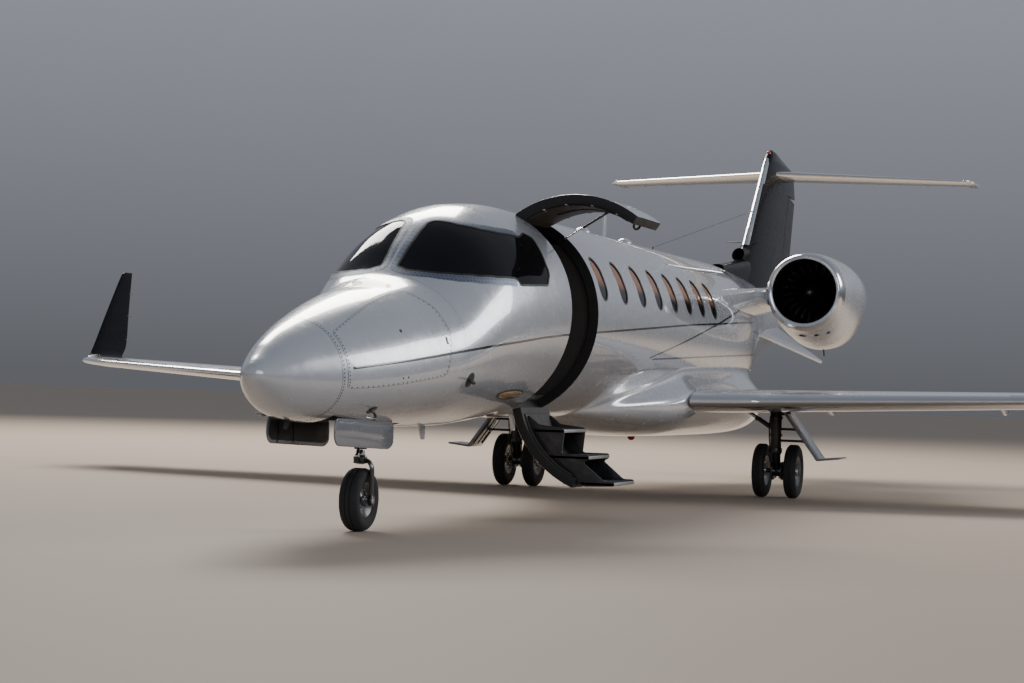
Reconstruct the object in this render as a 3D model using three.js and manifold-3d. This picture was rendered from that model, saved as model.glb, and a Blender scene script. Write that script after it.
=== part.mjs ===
// Twin-engine business jet, parked with its entry door open.
// Millimetres, +Z up, nose towards -Y, port side +X. The origin lies on the ground under the middle.
// A station is the distance aft of the nose tip.
import * as THREE from 'three';
import { mergeVertices } from 'three/addons/utils/BufferGeometryUtils.js';
import Module from 'manifold-3d';

const wasm = await Module();
wasm.setup();

// Driving dimensions
const LENGTH = 17680;
const WALL = 80;
const SEAM = 0.3;
const DOOR_GAP = 6;
const NOSE_SHORT = 8;
const PIN = { radius: 9, reach: 24 };
const BARREL = { radius: 14, length: 90 };
const ROD_SIDES = 12;
const PIN_SIDES = 16;
const NOSE_SIDES = 20;
const BODY_AXIS_Z = 1686;

// Stations of the body's joints
const RADOME_JOINT = 735;
const NOSE_JOINT = 2270;
const DOOR_FRONT = 4234;
const DOOR_REAR = 4992;
const CABIN_END = 10250;

// Body sections: station, half width, top, height of the widest point, bottom
const BODY = [
  [0, 36, 1142, 1110, 1076],
  [90, 133, 1215, 1100, 968],
  [320, 252, 1326, 1088, 860],
  [560, 335, 1412, 1085, 815],
  [1000, 452, 1552, 1100, 786],
  [1600, 580, 1716, 1160, 767],
  [2270, 690, 1862, 1260, 755],
  [2700, 752, 2160, 1400, 751],
  [2970, 785, 2330, 1490, 752],
  [3200, 808, 2420, 1540, 754],
  [3600, 842, 2512, 1620, 772],
  [4234, 874, 2559, 1685, 808],
  [4992, 875, 2561, 1686, 811],
  [10250, 875, 2570, 1690, 814],
  [11200, 850, 2574, 1700, 830],
  [12000, 735, 2578, 1722, 890],
  [12800, 575, 2562, 1775, 1025],
  [13600, 425, 2536, 1845, 1195],
  [14400, 300, 2504, 1910, 1360],
  [15200, 195, 2468, 1975, 1535],
  [16000, 112, 2430, 2060, 1730],
  [16700, 45, 2360, 2130, 1940],
];

// Corners of the body's sections: degrees above the port side. Three of them carry the doors' hinge lines
const UPPER_HINGE_ANGLE = 66.1;
const LOWER_HINGE_ANGLE = -63.8;
const BAGGAGE_HINGE_ANGLE = -26;
const PORT_ANGLES = [
  -90, -77, LOWER_HINGE_ANGLE, -51, -38, BAGGAGE_HINGE_ANGLE, -13,
  0, 13, 26, 39, 53, UPPER_HINGE_ANGLE, 78, 90,
];
const BODY_ANGLES = [...PORT_ANGLES, ...PORT_ANGLES.slice(1, -1).reverse().map((angle) => 180 - angle)];

// Cabin windows: the stations of their middles, their width and heights
const WINDOW_CENTRES = [5240, 5880, 6500, 7095, 7675, 8240, 8785, 9310];
const WINDOW_WIDTH = 250;
const WINDOW_LOW = 1830;
const WINDOW_HIGH = 2205;
const WINDOW_BELT = { margin: 55, ends: 36, depth: 12, recess: 4, clearance: 0.5 };

// Entry door in two halves: the split between the halves, and how far each stands open
const DOOR_SPLIT_Z = 1572;
const DOOR_EDGE_X = 868;
const UPPER_OPEN = 60;
const LOWER_OPEN = 104;

// Wing: half span stations with leading edge, trailing edge, height of the chord line and thickness
const WING_ABOVE = 0.54;
const WING = [
  // x, leading edge, trailing edge, height, thickness
  [950, 7950, 10860, 985, 250],
  [1500, 8380, 10880, 1000, 228],
  [4300, 9205, 10940, 1094, 168],
  [6650, 9895, 11180, 1205, 118],
  [6950, 10080, 11225, 1222, 100],
  [7090, 10480, 11260, 1234, 78],
];
const WINGLET = [
  // height, x, leading edge, trailing edge, thickness
  [1290, 7105, 10590, 11480, 60],
  [1420, 7165, 10720, 11520, 54],
  [2330, 7275, 11545, 11785, 22],
];
const FLAP = { inner: 1010, outer: 4480, chord: 430, drop: 120, brackets: [1900, 3700] };
const AILERON = { inner: 4520, outer: 6560, chord: 300 };

// Tail
const FIN = [
  // height, leading edge, trailing edge, thickness
  [2330, 13830, 17090, 300],
  [3000, 14430, 17290, 250],
  [3820, 15190, 17540, 190],
  [4050, 15400, 17450, 176],
  [4180, 15540, 17310, 150],
  [4310, 15860, 16260, 60],
];
// Rudder: its ends' heights and its hinge line's stations there. The leaning hinge line makes its ends
// rise and fall as it turns, so they stand short, and the top edge falls towards the rear
const RUDDER = { low: 2520, high: 3800, hingeLow: 16270, hingeHigh: 16820, short: 15, topFall: 0.045 };
const STABILIZER_Z = 4010;
const STABILIZER = [
  // x, leading edge, trailing edge, thickness
  [0, 15770, 17020, 112],
  [2440, 16905, 17640, 62],
  [2540, 17060, 17680, 34],
];
const ELEVATOR = { inner: 170, outer: 2380, hingeInner: 16690, hingeOuter: 17445 };
const DORSAL = [
  // station, half width, top
  [12940, 90, 2625],
  [13300, 96, 2660],
  [14120, 104, 2750],
  [15000, 90, 2850],
];
// Delta fins: the triangle's stations, span, tip length and buried root, and its three angles in radians
const DELTA_FIN = {
  front: 13400,
  rear: 16250,
  span: 780,
  tip: 180,
  root: 110,
  depth: 30,
  droop: 0.62,
  toeIn: 0.13,
  rise: 0.06,
  foot: { x: 420, z: 1806 },
};

// Engines
const ENGINE_X = 1392;
const ENGINE_Z = 2235;
const INLET = 11260;
const NACELLE = [
  // distance aft of the inlet, half width, rise above and drop below the engine's axis
  [0, 388, 388, 388],
  [25, 416, 414, 420],
  [160, 442, 434, 470],
  [500, 472, 446, 560],
  [1000, 484, 440, 628],
  [1500, 446, 408, 612],
  [1950, 376, 362, 510],
  [2300, 310, 310, 350],
  [2650, 256, 256, 272],
  [2860, 224, 224, 230],
];
const DUCT = [
  // distance aft of the inlet, radius
  [2860, 212],
  [2300, 274],
  [1900, 322],
  [700, 368],
  [300, 340],
  [60, 346],
];
const FAN = { station: 520, depth: 90, radius: 344, blades: 12, bladeFoot: 70, pitch: 0.6, spinner: 105 };
const CORE = { front: 760, rear: 1950, frontRadius: 330, rearRadius: 250, mount: [1150, 1250] };
const PYLON = [
  // x, leading edge, trailing edge, height, thickness
  [300, 9775, 14375, 2085, 280],
  [900, 10900, 14000, 2160, 250],
  [1150, 11420, 13800, 2190, 230],
];

// Landing gear
const NOSE_AXLE = { s: 1985, radius: 228.5, width: 150 };
const MAIN_AXLE = { s: 9930, radius: 279.5, width: 128 };
const MAIN_TRACK = 1430;
const TWIN_SPACING = 166;
const AXLE_RADIUS = 30;
const LEG_BAY = [1040, 1610, 9560, 10040];
const LEG_BAY_TOP = 960;
const NOSE_BAY = { half: 235, front: 930, rear: 2160, top: 1180 };

// Cutters reach past the body by this much
const PAST = 40;

const GROUP = new THREE.Group();

const at = (station) => station - LENGTH / 2;

const paint = (color, roughness = 0.3, metalness = 0) => {
  return new THREE.MeshStandardMaterial({ color, roughness, metalness });
};
const WHITE = paint(0xd6d8dc, 0.22);
const BLACK = paint(0x0c0d10, 0.2);
const METAL = paint(0x9a9da2, 0.3, 1);
const GLASS = paint(0x15181c, 0.08);
const RUBBER = paint(0x17171a, 0.85);
const LINING = paint(0xc7b295, 0.7);
const LEATHER = paint(0xb8a17f, 0.6);
const DARK = paint(0x2b2c2f, 0.5);

function closedGeometry(points, triangles) {
  // A closed shell from points and triangles, turned so that its faces point out
  let volume = 0;
  for (const [a, b, c] of triangles) {
    volume += points[a].dot(new THREE.Vector3().crossVectors(points[b], points[c]));
  }
  const index = triangles.flatMap(([a, b, c]) => (volume > 0 ? [a, b, c] : [a, c, b]));
  const geometry = new THREE.BufferGeometry();
  const numbers = points.flatMap((p) => [p.x, p.y, p.z]);
  geometry.setAttribute('position', new THREE.Float32BufferAttribute(numbers, 3));
  geometry.setIndex(index);
  return geometry;
}

function loft(rings, closeOnItself = false) {
  // A skin through rings of equal counts, with a fan over each end, or closed on itself like a ring
  const sides = rings[0].length;
  const points = rings.flat();
  const triangles = [];
  const steps = closeOnItself ? rings.length : rings.length - 1;
  for (let ring = 0; ring < steps; ring += 1) {
    const next = (ring + 1) % rings.length;
    for (let side = 0; side < sides; side += 1) {
      const a = ring * sides + side;
      const b = ring * sides + ((side + 1) % sides);
      const c = next * sides + side;
      const d = next * sides + ((side + 1) % sides);
      triangles.push([a, b, d], [a, d, c]);
    }
  }
  if (!closeOnItself) {
    const last = (rings.length - 1) * sides;
    for (let side = 1; side < sides - 1; side += 1) {
      triangles.push([0, side + 1, side], [last, last + side, last + side + 1]);
    }
  }
  return closedGeometry(points, triangles);
}

function toSolid(geometry) {
  const bare = geometry.clone();
  bare.deleteAttribute('normal');
  bare.deleteAttribute('uv');
  const merged = mergeVertices(bare, 1e-3);
  const vertProperties = new Float32Array(merged.attributes.position.array);
  return new wasm.Manifold(new wasm.Mesh({ numProp: 3, vertProperties, triVerts: merged.index.array }));
}

function toGeometry(solid) {
  const mesh = solid.getMesh();
  const geometry = new THREE.BufferGeometry();
  geometry.setAttribute('position', new THREE.Float32BufferAttribute(mesh.vertProperties, 3));
  geometry.setIndex([...mesh.triVerts]);
  return geometry;
}

function box(x0, x1, s0, s1, z0, z1) {
  // A block between two x, two stations and two heights
  const geometry = new THREE.BoxGeometry(x1 - x0, s1 - s0, z1 - z0);
  geometry.translate((x0 + x1) / 2, at((s0 + s1) / 2), (z0 + z1) / 2);
  return toSolid(geometry);
}

function plate(outline, low, high, plane) {
  // An outline with depth, in the plan view (x, station), the side view (station, height)
  // or the front view (x, height)
  const shape = new THREE.Shape(outline.map(([a, b]) => new THREE.Vector2(a, b)));
  const geometry = new THREE.ExtrudeGeometry(shape, { depth: high - low, bevelEnabled: false });
  geometry.translate(0, 0, low);
  const turns = {
    plan: (a, b, c) => [a, at(b), c],
    side: (a, b, c) => [c, at(a), b],
    front: (a, b, c) => [a, at(c), b],
  };
  const position = geometry.attributes.position;
  for (let i = 0; i < position.count; i += 1) {
    position.setXYZ(i, ...turns[plane](position.getX(i), position.getY(i), position.getZ(i)));
  }
  if (plane === 'front') return toSolid(reversed(geometry));
  return toSolid(geometry);
}

function reversed(geometry) {
  // The same faces wound the other way round
  const flipped = geometry.index ? geometry.toNonIndexed() : geometry;
  const position = flipped.attributes.position;
  for (let i = 0; i < position.count; i += 3) {
    const b = new THREE.Vector3().fromBufferAttribute(position, i + 1);
    const c = new THREE.Vector3().fromBufferAttribute(position, i + 2);
    position.setXYZ(i + 1, c.x, c.y, c.z);
    position.setXYZ(i + 2, b.x, b.y, b.z);
  }
  return flipped;
}

function rod(from, to, radius, endRadius = radius, sides = ROD_SIDES) {
  // A round bar between two points given as x, station, height
  const a = new THREE.Vector3(from[0], at(from[1]), from[2]);
  const b = new THREE.Vector3(to[0], at(to[1]), to[2]);
  const geometry = new THREE.CylinderGeometry(endRadius, radius, a.distanceTo(b), sides);
  const direction = b.clone().sub(a).normalize();
  const upright = new THREE.Vector3(0, 1, 0);
  geometry.applyQuaternion(new THREE.Quaternion().setFromUnitVectors(upright, direction));
  geometry.translate((a.x + b.x) / 2, (a.y + b.y) / 2, (a.z + b.z) / 2);
  return toSolid(geometry);
}

function pin(from, to, radius) {
  // A hinge pin, or the hole for one. Its sides are fine enough to turn in the hole
  return rod(from, to, radius, radius, PIN_SIDES);
}

function joined(...solids) {
  return solids.reduce((sum, solid) => sum.add(solid));
}

function mirrored(solid) {
  return solid.scale([-1, 1, 1]);
}

function add(name, solid, material, parent = GROUP) {
  const mesh = new THREE.Mesh(solid.isBufferGeometry ? solid : toGeometry(solid), material);
  mesh.name = name;
  parent.add(mesh);
  return mesh;
}

function addPair(name, solid, material, trim = (side) => side) {
  // Both sides of a piece. trim fits each one to what it meets there
  add(`${name}_left`, trim(solid), material);
  add(`${name}_right`, trim(mirrored(solid)), material);
}

// Body shells

function bodySection(station) {
  const last = BODY.length - 1;
  let row = BODY.findIndex((entry) => entry[0] >= station);
  if (row < 1) row = row === -1 ? last : 1;
  const [low, high] = [BODY[row - 1], BODY[row]];
  const share = (station - low[0]) / (high[0] - low[0]);
  return low.map((value, column) => value + share * (high[column] - value));
}

function bodyPoint(station, degrees, inset = 0) {
  const [, half, top, wide, bottom] = bodySection(station);
  const turn = THREE.MathUtils.degToRad(degrees);
  const rise = (degrees > 0 && degrees < 180 ? top - wide : wide - bottom) - inset;
  return [Math.cos(turn) * (half - inset), station, wide + Math.sin(turn) * rise];
}

function bodyRing(station, inset) {
  return BODY_ANGLES.map((degrees) => {
    const [x, s, z] = bodyPoint(station, degrees, inset);
    return new THREE.Vector3(x, at(s), z);
  });
}

function hull(from, to, inset = 0) {
  // The body's outer form between two stations, drawn in by an inset
  const between = BODY.map((row) => row[0]).filter((station) => station > from + 1 && station < to - 1);
  return toSolid(loft([from, ...between, to].map((station) => bodyRing(station, inset))));
}

function wedge(fromDegrees, toDegrees, from, to, gap = SEAM) {
  // A sector about the body's axis between two angles above the port side, with half the gap off each face
  const reach = 2500;
  const middle = THREE.MathUtils.degToRad((fromDegrees + toDegrees) / 2);
  const half = THREE.MathUtils.degToRad((toDegrees - fromDegrees) / 2);
  const shift = gap / 2 / Math.sin(Math.min(half, Math.PI / 2));
  const apex = [Math.cos(middle) * shift, BODY_AXIS_Z + Math.sin(middle) * shift];
  const steps = 6;
  const arc = Array.from({ length: steps + 1 }, (_, i) => {
    const turn = middle - half + (2 * half * i) / steps;
    return [apex[0] + reach * Math.cos(turn), apex[1] + reach * Math.sin(turn)];
  });
  return plate([apex, ...arc], from + gap / 2, to - gap / 2, 'front');
}

function shell(from, to, inset = WALL, outset = 0) {
  // The body's wall between two stations. outset draws its outer face in as well
  return hull(from, to, outset).subtract(hull(from - PAST, to + PAST, inset));
}

const hingeAt = (degrees) => {
  const [x, , z] = bodyPoint((DOOR_FRONT + DOOR_REAR) / 2, degrees);
  return { x, z };
};
const UPPER_HINGE = hingeAt(UPPER_HINGE_ANGLE);
const LOWER_HINGE = hingeAt(LOWER_HINGE_ANGLE);
const angleOf = (x, z) => THREE.MathUtils.radToDeg(Math.atan2(z - BODY_AXIS_Z, x));
const UPPER_EDGE = angleOf(UPPER_HINGE.x, UPPER_HINGE.z);
const LOWER_EDGE = angleOf(LOWER_HINGE.x, LOWER_HINGE.z);
const SPLIT_EDGE = angleOf(DOOR_EDGE_X, DOOR_SPLIT_Z);
const CROWN_EDGE = 48;
const BELLY_EDGE = -28;

// Glazing outlines on the side view: station, height
const PANE_OUTLINE = [
  [2300, 1990],
  [2370, 1905],
  [2753, 1894],
  [3110, 1900],
  [3260, 1856],
  [3752, 1878],
  [3851, 1984],
  [3876, 2156],
  [3900, 2267],
  [3806, 2303],
  [3640, 2258],
  [3198, 2285],
  [3019, 2345],
  [2960, 2420],
];
const CENTRE_POST_HALF = 80;
const PANE = { recess: 2, depth: 18, shrink: 0.998, middle: [3150, 2070] };

function cockpit() {
  const opening = plate(PANE_OUTLINE, CENTRE_POST_HALF, 1200, 'side');
  const wall = shell(NOSE_JOINT + SEAM, DOOR_FRONT);
  add('cockpit_shell', wall.subtract(opening).subtract(mirrored(opening)), WHITE);
  const fit = (value, axis) => PANE.middle[axis] + (value - PANE.middle[axis]) * PANE.shrink;
  const outline = PANE_OUTLINE.map((point) => point.map(fit));
  const skin = shell(NOSE_JOINT, DOOR_FRONT, PANE.recess + PANE.depth, PANE.recess);
  const pane = skin.intersect(plate(outline, CENTRE_POST_HALF + SEAM, 1200, 'side'));
  addPair('windshield', pane, GLASS);
}

function nose() {
  add('radome', hull(BODY[0][0], RADOME_JOINT), WHITE);
  const bay = box(-NOSE_BAY.half, NOSE_BAY.half, NOSE_BAY.front, NOSE_BAY.rear, 600, NOSE_BAY.top);
  add('nose_section', hull(RADOME_JOINT + SEAM, NOSE_JOINT).subtract(bay), WHITE);
}

function windowOutline(centre, grow = 0) {
  const corner = WINDOW_WIDTH / 2 + grow;
  const middle = (WINDOW_LOW + WINDOW_HIGH) / 2;
  const straight = (WINDOW_HIGH - WINDOW_LOW) / 2 + grow - corner;
  const steps = 4;
  const arc = (start, z) => Array.from({ length: steps + 1 }, (_, i) => {
    const turn = start + (Math.PI * i) / steps;
    return [centre + corner * Math.cos(turn), z + corner * Math.sin(turn)];
  });
  return [...arc(0, middle + straight), ...arc(Math.PI, middle - straight)];
}

function windowPlugs(grow) {
  // Through the port wall, at every cabin window
  return joined(...WINDOW_CENTRES.map((centre) => plate(windowOutline(centre, grow), 500, 1000, 'side')));
}

function cabin() {
  const ring = shell(DOOR_FRONT + SEAM, CABIN_END);
  const doorway = wedge(LOWER_EDGE, UPPER_EDGE, DOOR_FRONT - PAST, DOOR_REAR, 0);
  const crown = ring.intersect(wedge(CROWN_EDGE, 180 - CROWN_EDGE, DOOR_FRONT, CABIN_END));
  add('cabin_crown', crown.subtract(doorway).subtract(barrels(UPPER_HINGE, SEAM)), WHITE);
  const belly = ring.intersect(wedge(-180 - BELLY_EDGE, BELLY_EDGE, DOOR_FRONT, CABIN_END));
  add('cabin_belly', belly.subtract(doorway).subtract(barrels(LOWER_HINGE, SEAM)), WHITE);
  const openings = windowPlugs(0);
  const left = ring.intersect(wedge(BELLY_EDGE, CROWN_EDGE, DOOR_REAR, CABIN_END)).subtract(openings);
  add('cabin_wall_left', left, WHITE);
  const right = ring.intersect(wedge(180 - CROWN_EDGE, 180 - BELLY_EDGE, DOOR_FRONT, CABIN_END));
  add('cabin_wall_right', right.subtract(mirrored(openings)), WHITE);
  cabinWindows();
}

function cabinWindows() {
  // Each side's panes stand on the trim belt that runs along the inside of the wall
  const { margin, ends, depth, recess, clearance } = WINDOW_BELT;
  const reach = WINDOW_WIDTH / 2 + ends;
  const [front, rear] = [WINDOW_CENTRES[0] - reach, WINDOW_CENTRES[WINDOW_CENTRES.length - 1] + reach];
  const region = box(300, 1000, front, rear, WINDOW_LOW - margin, WINDOW_HIGH + margin);
  const belt = shell(DOOR_REAR, CABIN_END, WALL + depth, WALL + clearance).intersect(region);
  const panes = shell(DOOR_REAR, CABIN_END, WALL + depth, recess).intersect(windowPlugs(-clearance));
  addPair('cabin_windows', belt.add(panes), GLASS);
}

// Interior

const FLOOR_TOP = 1010;
const FLOOR_DEPTH = 40;
const ON_FLOOR = FLOOR_TOP + SEAM;
const FURNITURE = [
  // name, front, rear, one side, other side, top
  ['galley_cabinet', DOOR_FRONT + 60, DOOR_REAR - 20, -900, -380, 2150],
  ['entry_partition', DOOR_REAR + 44, DOOR_REAR + 84, 150, 900, 2300],
];

function interior() {
  const inside = hull(NOSE_JOINT + SEAM, CABIN_END - SEAM, WALL + SEAM);
  const floor = box(-900, 900, NOSE_JOINT + 60, CABIN_END - SEAM, FLOOR_TOP - FLOOR_DEPTH, FLOOR_TOP);
  const stairwell = box(330, 1000, DOOR_FRONT - 60, DOOR_REAR + 40, 600, 1400);
  add('cabin_floor', floor.intersect(inside).subtract(stairwell), LINING);
  const panel = box(-760, 760, 2760, 2900, 1480, 1800);
  const coaming = box(-560, 560, 2560, 2820, 1740, 1815);
  const pedestal = box(-110, 110, 2800, 3420, ON_FLOOR, 1500);
  add('instrument_panel', joined(panel, coaming, pedestal).intersect(inside), DARK);
  for (const [name, front, rear, near, far, top] of FURNITURE) {
    add(name, box(near, far, front, rear, ON_FLOOR, top).intersect(inside), LINING);
  }
  pilotSeats();
  cabinSeats();
}

const PILOT_SEAT = { x: 345, station: 3560, width: 430 };
const CABIN_SEAT = { x: 450, width: 520 };
const SEAT_ROWS = [
  // station, facing
  [5620, -1],
  [6900, 1],
  [7620, -1],
  [8880, 1],
];
const RAIL_DEPTH = 30;
const SEAT_CLEARANCE = 20;

function seat(x, station, facing, width) {
  // One seat with its cushion, back and headrest. facing is 1 looking forward and -1 looking aft
  const half = width / 2;
  const span = (near, far) => [station - facing * near, station - facing * far].sort((a, b) => a - b);
  const z = ON_FLOOR;
  return joined(
    box(x - half + 60, x + half - 60, ...span(-180, 180), z, z + 240),
    box(x - half, x + half, ...span(-230, 270), z + 200, z + 390),
    box(x - half + 20, x + half - 20, ...span(-340, -190), z + 230, z + 900),
    box(x - half + 110, x + half - 110, ...span(-330, -220), z + 880, z + 1090),
  );
}

function pilotSeats() {
  const { x, station, width } = PILOT_SEAT;
  const rail = box(-x, x, station, station + PAST, ON_FLOOR, ON_FLOOR + RAIL_DEPTH);
  const seats = joined(seat(x, station, 1, width), seat(-x, station, 1, width), rail);
  add('pilot_seats', seats.intersect(hull(NOSE_JOINT, DOOR_FRONT, WALL + SEAT_CLEARANCE)), LEATHER);
}

function cabinSeats() {
  const { x, width } = CABIN_SEAT;
  const [first, last] = [SEAT_ROWS[0][0], SEAT_ROWS[SEAT_ROWS.length - 1][0]];
  const rail = box(x - PAST, x + PAST, first, last, ON_FLOOR, ON_FLOOR + RAIL_DEPTH);
  const seats = joined(rail, ...SEAT_ROWS.map(([station, facing]) => seat(x, station, facing, width)));
  addPair('cabin_seats', seats.intersect(hull(DOOR_REAR, CABIN_END, WALL + SEAT_CLEARANCE)), LEATHER);
}

// Entry door

function hingeGroup(hinge, degrees) {
  // A group that turns its pieces about a lengthwise hinge line. Positive turns lift the port side
  const group = new THREE.Group();
  group.position.set(hinge.x, 0, hinge.z);
  group.rotation.y = THREE.MathUtils.degToRad(-degrees);
  GROUP.add(group);
  return group;
}

function addTurned(name, solid, material, group, hinge) {
  add(name, solid.translate([-hinge.x, 0, -hinge.z]), material, group);
}

function barrels(hinge, grow = 0) {
  // The knuckles on a door's hinge line
  const spacing = (DOOR_REAR - DOOR_FRONT) / 3;
  return joined(...[0, 1, 2].map((row) => {
    const middle = DOOR_FRONT + spacing * (row + 0.5);
    const half = BARREL.length / 2 + grow;
    return pin([hinge.x, middle - half, hinge.z], [hinge.x, middle + half, hinge.z], BARREL.radius + grow);
  }));
}

function entryDoor() {
  const ring = shell(DOOR_FRONT - 40, DOOR_REAR + 40);
  const gap = 2 * DOOR_GAP;
  const upper = hingeGroup(UPPER_HINGE, UPPER_OPEN);
  const lower = hingeGroup(LOWER_HINGE, -LOWER_OPEN);
  const upperPanel = ring.intersect(wedge(SPLIT_EDGE, UPPER_EDGE, DOOR_FRONT, DOOR_REAR, gap));
  addTurned('entry_door_upper', upperPanel.add(barrels(UPPER_HINGE)), WHITE, upper, UPPER_HINGE);
  const lowerPanel = ring.intersect(wedge(LOWER_EDGE, SPLIT_EDGE, DOOR_FRONT, DOOR_REAR, gap));
  addTurned('entry_door_lower', lowerPanel.add(barrels(LOWER_HINGE)), WHITE, lower, LOWER_HINGE);
  addTurned('entry_steps', steps(), METAL, lower, LOWER_HINGE);
  const strut = rod(STRUT_DOOR_EYE, STRUT_FRAME_EYE, STRUT_RADIUS);
  const room = hull(DOOR_FRONT, DOOR_REAR, WALL + SEAM);
  addTurned('door_strut', strut.intersect(room), DARK, upper, UPPER_HINGE);
}

// The gas strut's ends with the door closed: x, station, height
const STRUT_DOOR_EYE = [745, DOOR_REAR - 50, 1998];
const STRUT_FRAME_EYE = [324, DOOR_REAR - 50, 2231];
const STRUT_RADIUS = 11;

// Treads with the door lowered: depth from the door's inside to the tread's edge x, and height
const TREADS = [
  [560, 815, 738],
  [640, 1030, 530],
  [820, 1250, 323],
];
const TREAD_DEPTH = 26;
const STEP_FRONT = DOOR_FRONT + 75;
const STEP_REAR = DOOR_REAR - 75;
const STRINGER = 16;
const STRINGER_OUTLINE = [
  [500, 850],
  [600, 775],
  [815, 752],
  [815, 712],
  [800, 545],
  [1030, 545],
  [1030, 504],
  [985, 480],
  [1160, 337],
  [1250, 337],
  [1250, 297],
  [1000, 285],
  [700, 480],
  [500, 760],
];

function steps() {
  // The steps are drawn with the door lowered and turned up into the closed door, where the wall trims them
  const treads = TREADS.map(([x0, x1, z]) => box(x0, x1, STEP_FRONT, STEP_REAR, z - TREAD_DEPTH, z));
  const sides = [STEP_FRONT, STEP_REAR - STRINGER].map((s) => {
    return plate(STRINGER_OUTLINE, s, s + STRINGER, 'front');
  });
  const lowered = joined(...treads, ...sides).translate([-LOWER_HINGE.x, 0, -LOWER_HINGE.z]);
  const raised = lowered.rotate([0, -LOWER_OPEN, 0]).translate([LOWER_HINGE.x, 0, LOWER_HINGE.z]);
  const besideDoor = wedge(LOWER_EDGE - 40, SPLIT_EDGE, DOOR_FRONT, DOOR_REAR);
  const room = hull(DOOR_FRONT, DOOR_REAR, WALL + SEAM).intersect(besideDoor);
  return raised.intersect(room.add(hull(DOOR_FRONT, DOOR_REAR, WALL + DOOR_GAP + 4)));
}

// Tail section with its baggage hold

// Baggage door. Its slanting hinge line swings its rear edge aft, so it has more room there
const BAGGAGE = {
  front: 11240,
  rear: 11920,
  low: -26,
  high: 6,
  depth: 50,
  hingeShares: [0.2, 0.8],
  slack: 0.45,
  rearRoom: 8,
};
const TAIL_WALL = 60;
const BULKHEAD = 80;
const HOLD_END = 15400;

function tailSection() {
  const { front, rear, low, high, rearRoom } = BAGGAGE;
  const whole = hull(CABIN_END + SEAM, BODY[BODY.length - 1][0]);
  const hold = hull(CABIN_END + BULKHEAD, HOLD_END, TAIL_WALL);
  const opening = wedge(low, high, front, rear, 0).intersect(box(300, 1000, front, rear, 1000, 2000));
  add('tail_section', whole.subtract(hold).subtract(opening).subtract(baggageHinge(BAGGAGE.slack)), WHITE);
  const skin = shell(front - PAST, rear + PAST, BAGGAGE.depth);
  const door = skin.intersect(wedge(low, high, front, rear - rearRoom, 2 * DOOR_GAP));
  add('baggage_door', door.add(baggageHinge(0)), WHITE);
}

function baggageHinge(grow) {
  const { front, rear } = BAGGAGE;
  const [from, to] = [front, rear].map((station) => bodyPoint(station, BAGGAGE_HINGE_ANGLE));
  const along = (share) => from.map((value, axis) => value + share * (to[axis] - value));
  const half = (BARREL.length / 2 + grow) / (rear - front);
  return joined(...BAGGAGE.hingeShares.map((share) => {
    return pin(along(share - half), along(share + half), BARREL.radius + grow);
  }));
}

// Wings

function fullness(t) {
  // Half thickness of a wing section at a share of its chord, for a full thickness of one
  return 5 * (0.2969 * Math.sqrt(t) - 0.126 * t - 0.3516 * t ** 2 + 0.2843 * t ** 3 - 0.1015 * t ** 4);
}

function airfoil(place, front, rear, thickness, above = WING_ABOVE) {
  // A ring round a wing section. place turns a station and an offset into a point
  const stations = [0, 0.018, 0.08, 0.25, 0.5, 0.76, 1];
  const edge = 3;
  const point = (t, side) => {
    const shareOfThickness = 2 * (side > 0 ? above : 1 - above);
    const offset = t === 0 ? 0 : Math.max(edge, fullness(t) * thickness * shareOfThickness);
    return place(front + t * (rear - front), offset * side);
  };
  const upper = stations.map((t) => point(t, 1));
  const lower = stations.slice(1).reverse().map((t) => point(t, -1));
  return [...upper, ...lower];
}

function surfaceAt(table, value) {
  // The row of a table at any value of its first column
  let row = table.findIndex((entry) => entry[0] >= value);
  if (row === -1) row = table.length - 1;
  if (row === 0) row = 1;
  const [low, high] = [table[row - 1], table[row]];
  const share = (value - low[0]) / (high[0] - low[0]);
  return low.map((entry, column) => entry + share * (high[column] - entry));
}

const wingRing = ([x, front, rear, z, thickness]) => {
  return airfoil((s, offset) => new THREE.Vector3(x, at(s), z + offset), front, rear, thickness);
};

function hinged(solid, inner, outer, [low, high]) {
  // Parts a control surface from a wing between two heights.
  // An end of its hinge line is x, station, height, radius
  const reach = 900;
  const slope = (outer[1] - inner[1]) / (outer[0] - inner[0]);
  const rise = (outer[2] - inner[2]) / (outer[0] - inner[0]);
  const ends = (grow) => [
    [inner[0] - grow, inner[1] - grow * slope, inner[2] - grow * rise],
    [outer[0] + grow, outer[1] + grow * slope, outer[2] + grow * rise],
  ];
  const region = (grow) => {
    const [[x0, s0], [x1, s1]] = ends(grow);
    return plate([[x0, s0], [x1, s1], [x1, s1 + reach], [x0, s0 + reach]], low, high, 'plan');
  };
  const nose = (grow, extra) => rod(...ends(extra), inner[3] + grow, outer[3] + grow, NOSE_SIDES);
  const pins = (grow) => {
    const [inside, outside] = [ends(-PIN.reach), ends(PIN.reach + grow)];
    return [0, 1].map((end) => pin(outside[end], inside[end], PIN.radius + grow));
  };
  const moving = solid.intersect(joined(region(0), nose(0, -NOSE_SHORT)));
  const fixed = solid.subtract(region(DOOR_GAP)).subtract(nose(DOOR_GAP, DOOR_GAP));
  return { moving: joined(moving, ...pins(0)), fixed: fixed.subtract(joined(...pins(SEAM))) };
}

function flapLineAt(x) {
  // The flap's hinge line, under its leading edge
  const share = (x - FLAP.inner) / (FLAP.outer - FLAP.inner);
  const [near, far] = [FLAP.inner, FLAP.outer].map((end) => {
    const [, , rear, z] = surfaceAt(WING, end);
    return [end, rear - FLAP.chord, z - FLAP.drop];
  });
  return near.map((value, axis) => value + share * (far[axis] - value));
}

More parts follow.
